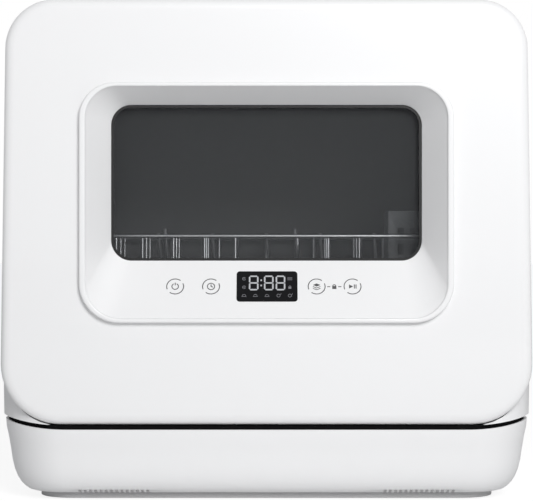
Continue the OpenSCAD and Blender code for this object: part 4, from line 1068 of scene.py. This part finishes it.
class OBJECT_OT_dishwasher_fittings(bpy.types.Operator):
    """Finish the rear fittings: inlet thread, spigot, cord gland and the screws"""
    bl_idname = "object.dishwasher_fittings"
    bl_label = "Rear fittings and screws"

    # millimetres
    head_radius, shank_radius = 3.2, 1.55
    head_height = {"panel_screws": 1.8, "liner_screws": 1.3}
    row_height = {"panel_screws": 240.0, "liner_screws": 260.0}
    # of the inlet's thread: spacing, count and height of the ridges, and room in front of its end
    thread_pitch, thread_turns, ridge, thread_end = 1.81, 7, 0.42, 1.0

    def drift(self, node, z):
        """How much nearer the middle a screw sits than the outermost one."""
        if node == "panel_screws":
            return 4.0 if z > 300.0 else 0.0
        return 0.0 if 200.0 < z < 300.0 else 1.0

    def thread(self):
        """Ridges of the inlet's outer thread, from the size of its mount."""
        inlet = next(m for m in frame["record"]["mounts"] if m["name"] == "water_inlet")
        pitch, turns = self.thread_pitch, self.thread_turns
        x, z = (inlet["pos_m"][k] / MM for k in (0, 2))
        first = span("inlet_valve")[1].y - self.thread_end - pitch * (turns - 1)
        ridges = modifier_mesh("inlet_thread", point_cloud("thread", [(x, first, z)]),
                               ring_tree(MADE.lining), {
            "Ridge radius": (inlet["dims"]["r_mm"] - 0.1) * MM, "Ridge": self.ridge * MM, "Turns": turns,
            "Pitch": pitch * MM})
        tidy_mesh(ridges.data, 60.0)
        settle(ridges, MADE.lining, body="cabinet")

    def execute(self, context):
        smooth_copy("inlet_valve", MADE.lining)
        smooth_copy("drain_spigot", MADE.dark)
        smooth_copy("cord_gland", MADE.rubber)
        self.thread()
        tree = screw_tree(MADE.steel)
        for node in ("panel_screws", "liner_screws"):
            low, high = span(node)
            head = self.head_height[node]
            half = high.x - self.head_radius
            rows = (low.z + self.head_radius, self.row_height[node], high.z - self.head_radius)
            spots = [(side * (half - self.drift(node, z)), high.y - head, z)
                     for side in (-1, 1) for z in rows]
            screws = modifier_mesh(node + "_heads", point_cloud(node, spots), tree, {
                "Head radius": self.head_radius * MM, "Head": head * MM,
                "Shank radius": self.shank_radius * MM, "Shank": (high.y - head - low.y) * MM})
            tidy_mesh(screws.data, 38.0)
            settle(screws, MADE.steel, node)
        return {"FINISHED"}


class OBJECT_OT_dishwasher_stage(bpy.types.Operator):
    """Set the pale floor, the backdrop, the soft lamps and the camera"""
    bl_idname = "object.dishwasher_stage"
    bl_label = "Stage"

    # metres: the plane that the camera's distance is measured from, the lamp, and half the floor
    face_y = -0.197
    lamp_place, lamp_aim, lamp_size = (0.76, -2.72, 1.42), (0.0, 0.0, 0.2), 1.1
    floor_half = 30.0
    # millimetres
    sensor = 36.0

    def execute(self, context):
        s = context.scene.stage_light
        self.floor(s.spill)
        self.world(s.ambient)
        self.lamp("key_lamp", s.key)
        lens = bpy.data.cameras.new("camera")
        lens.sensor_width = self.sensor
        lens.lens = self.sensor * s.distance / s.view_width
        lens.clip_end = 50.0
        camera = new_object("camera", lens)
        camera.location = (0.0, self.face_y - s.distance, s.eye)
        camera.rotation_euler = (math.radians(90), 0.0, 0.0)
        context.scene.camera = camera
        context.scene.view_settings.view_transform = "Standard"
        return {"FINISHED"}

    def floor(self, spill):
        """Pale matt floor; the camera sees it lifted to white where no shadow falls on it."""
        size = self.floor_half
        mesh = bpy.data.meshes.new("floor")
        mesh.from_pydata([(-size, -size, 0), (size, -size, 0), (size, size, 0), (-size, size, 0)], [],
                         [(0, 1, 2, 3)])
        floor = new_object("floor", mesh)
        made = bpy.data.materials.new("floor_white")
        tree = blank(made)
        at = put(tree, "ShaderNodeTexCoord").outputs["Object"]
        tone = mixed(tree, noise(tree, at, 3.0), (0.86, 0.86, 0.86, 1), (0.88, 0.88, 0.88, 1))
        matt = put(tree, "ShaderNodeBsdfDiffuse", Color=tone)
        half_tone = put(tree, "ShaderNodeBsdfDiffuse", Color=(0.25, 0.25, 0.25, 1))
        white = put(tree, "ShaderNodeEmission", Color=(1, 1, 1, 1), Strength=spill)
        lifted = put(tree, "ShaderNodeAddShader", i0=half_tone.outputs[0], i1=white.outputs[0])
        seen = put(tree, "ShaderNodeLightPath").outputs["Is Camera Ray"]
        mix = put(tree, "ShaderNodeMixShader", i0=seen, i1=matt.outputs[0], i2=lifted.outputs[0])
        surface(tree, mix)
        mesh.materials.append(made)

    def world(self, strength):
        """White where the camera, a reflection or a pane looks past the object, softer as a light."""
        world = bpy.data.worlds.new("surroundings")
        bpy.context.scene.world = world
        tree = blank(world)
        seen = put(tree, "ShaderNodeLightPath")
        straight = math_node(tree, "MAXIMUM", seen.outputs["Is Camera Ray"], seen.outputs["Is Glossy Ray"])
        straight = math_node(tree, "MAXIMUM", straight, seen.outputs["Is Transmission Ray"])
        soft = put(tree, "ShaderNodeBackground", Color=(0.97, 0.98, 1.0, 1), Strength=strength)
        white = put(tree, "ShaderNodeBackground", Color=(1, 1, 1, 1), Strength=1.0)
        mix = put(tree, "ShaderNodeMixShader", i0=straight, i1=soft.outputs[0], i2=white.outputs[0])
        surface(tree, mix, "ShaderNodeOutputWorld")

    def lamp(self, name, power):
        data = bpy.data.lights.new(name, "AREA")
        data.size = self.lamp_size
        data.energy = power
        lamp = new_object(name, data)
        lamp.location = self.lamp_place
        way = Vector(self.lamp_aim) - Vector(self.lamp_place)
        lamp.rotation_euler = way.to_track_quat("-Z", "Y").to_euler()


class VIEW3D_PT_dishwasher(bpy.types.Panel):
    """Sizes, colours and steps of the dishwasher"""
    bl_label = "Countertop Dishwasher"
    bl_idname = "VIEW3D_PT_dishwasher"
    bl_space_type = "VIEW_3D"
    bl_region_type = "UI"
    bl_category = "Dishwasher"

    def draw(self, context):
        for name in SETTINGS:
            group = getattr(context.scene, name)
            box = self.layout.box()
            box.label(text=type(group).__doc__)
            for key in type(group).__annotations__:
                box.prop(group, key)
        for step in STEPS:
            self.layout.operator(step.bl_idname)


SETTINGS = {"moulding_sizes": MouldingSizes, "rack_sizes": RackSizes, "control_sizes": ControlSizes,
            "finish_colours": FinishColours, "stage_light": StageLight}
STEPS = (OBJECT_OT_dishwasher_cabinet, OBJECT_OT_dishwasher_base, OBJECT_OT_dishwasher_door,
         OBJECT_OT_dishwasher_window, OBJECT_OT_dishwasher_controls, OBJECT_OT_dishwasher_rack,
         OBJECT_OT_dishwasher_wash, OBJECT_OT_dishwasher_fittings, OBJECT_OT_dishwasher_stage)
CLASSES = (*SETTINGS.values(), *STEPS, VIEW3D_PT_dishwasher)
MADE = None


def register():
    for item in CLASSES:
        bpy.utils.register_class(item)
    for name, group in SETTINGS.items():
        setattr(bpy.types.Scene, name, PointerProperty(type=group))


def unregister():
    for name in SETTINGS:
        delattr(bpy.types.Scene, name)
    for item in reversed(CLASSES):
        bpy.utils.unregister_class(item)


def main():
    global MADE
    register()
    MADE = Finishes()
    for step in STEPS:
        group, name = step.bl_idname.split(".")
        getattr(getattr(bpy.ops, group), name)()


if __name__ == "__main__":
    main()
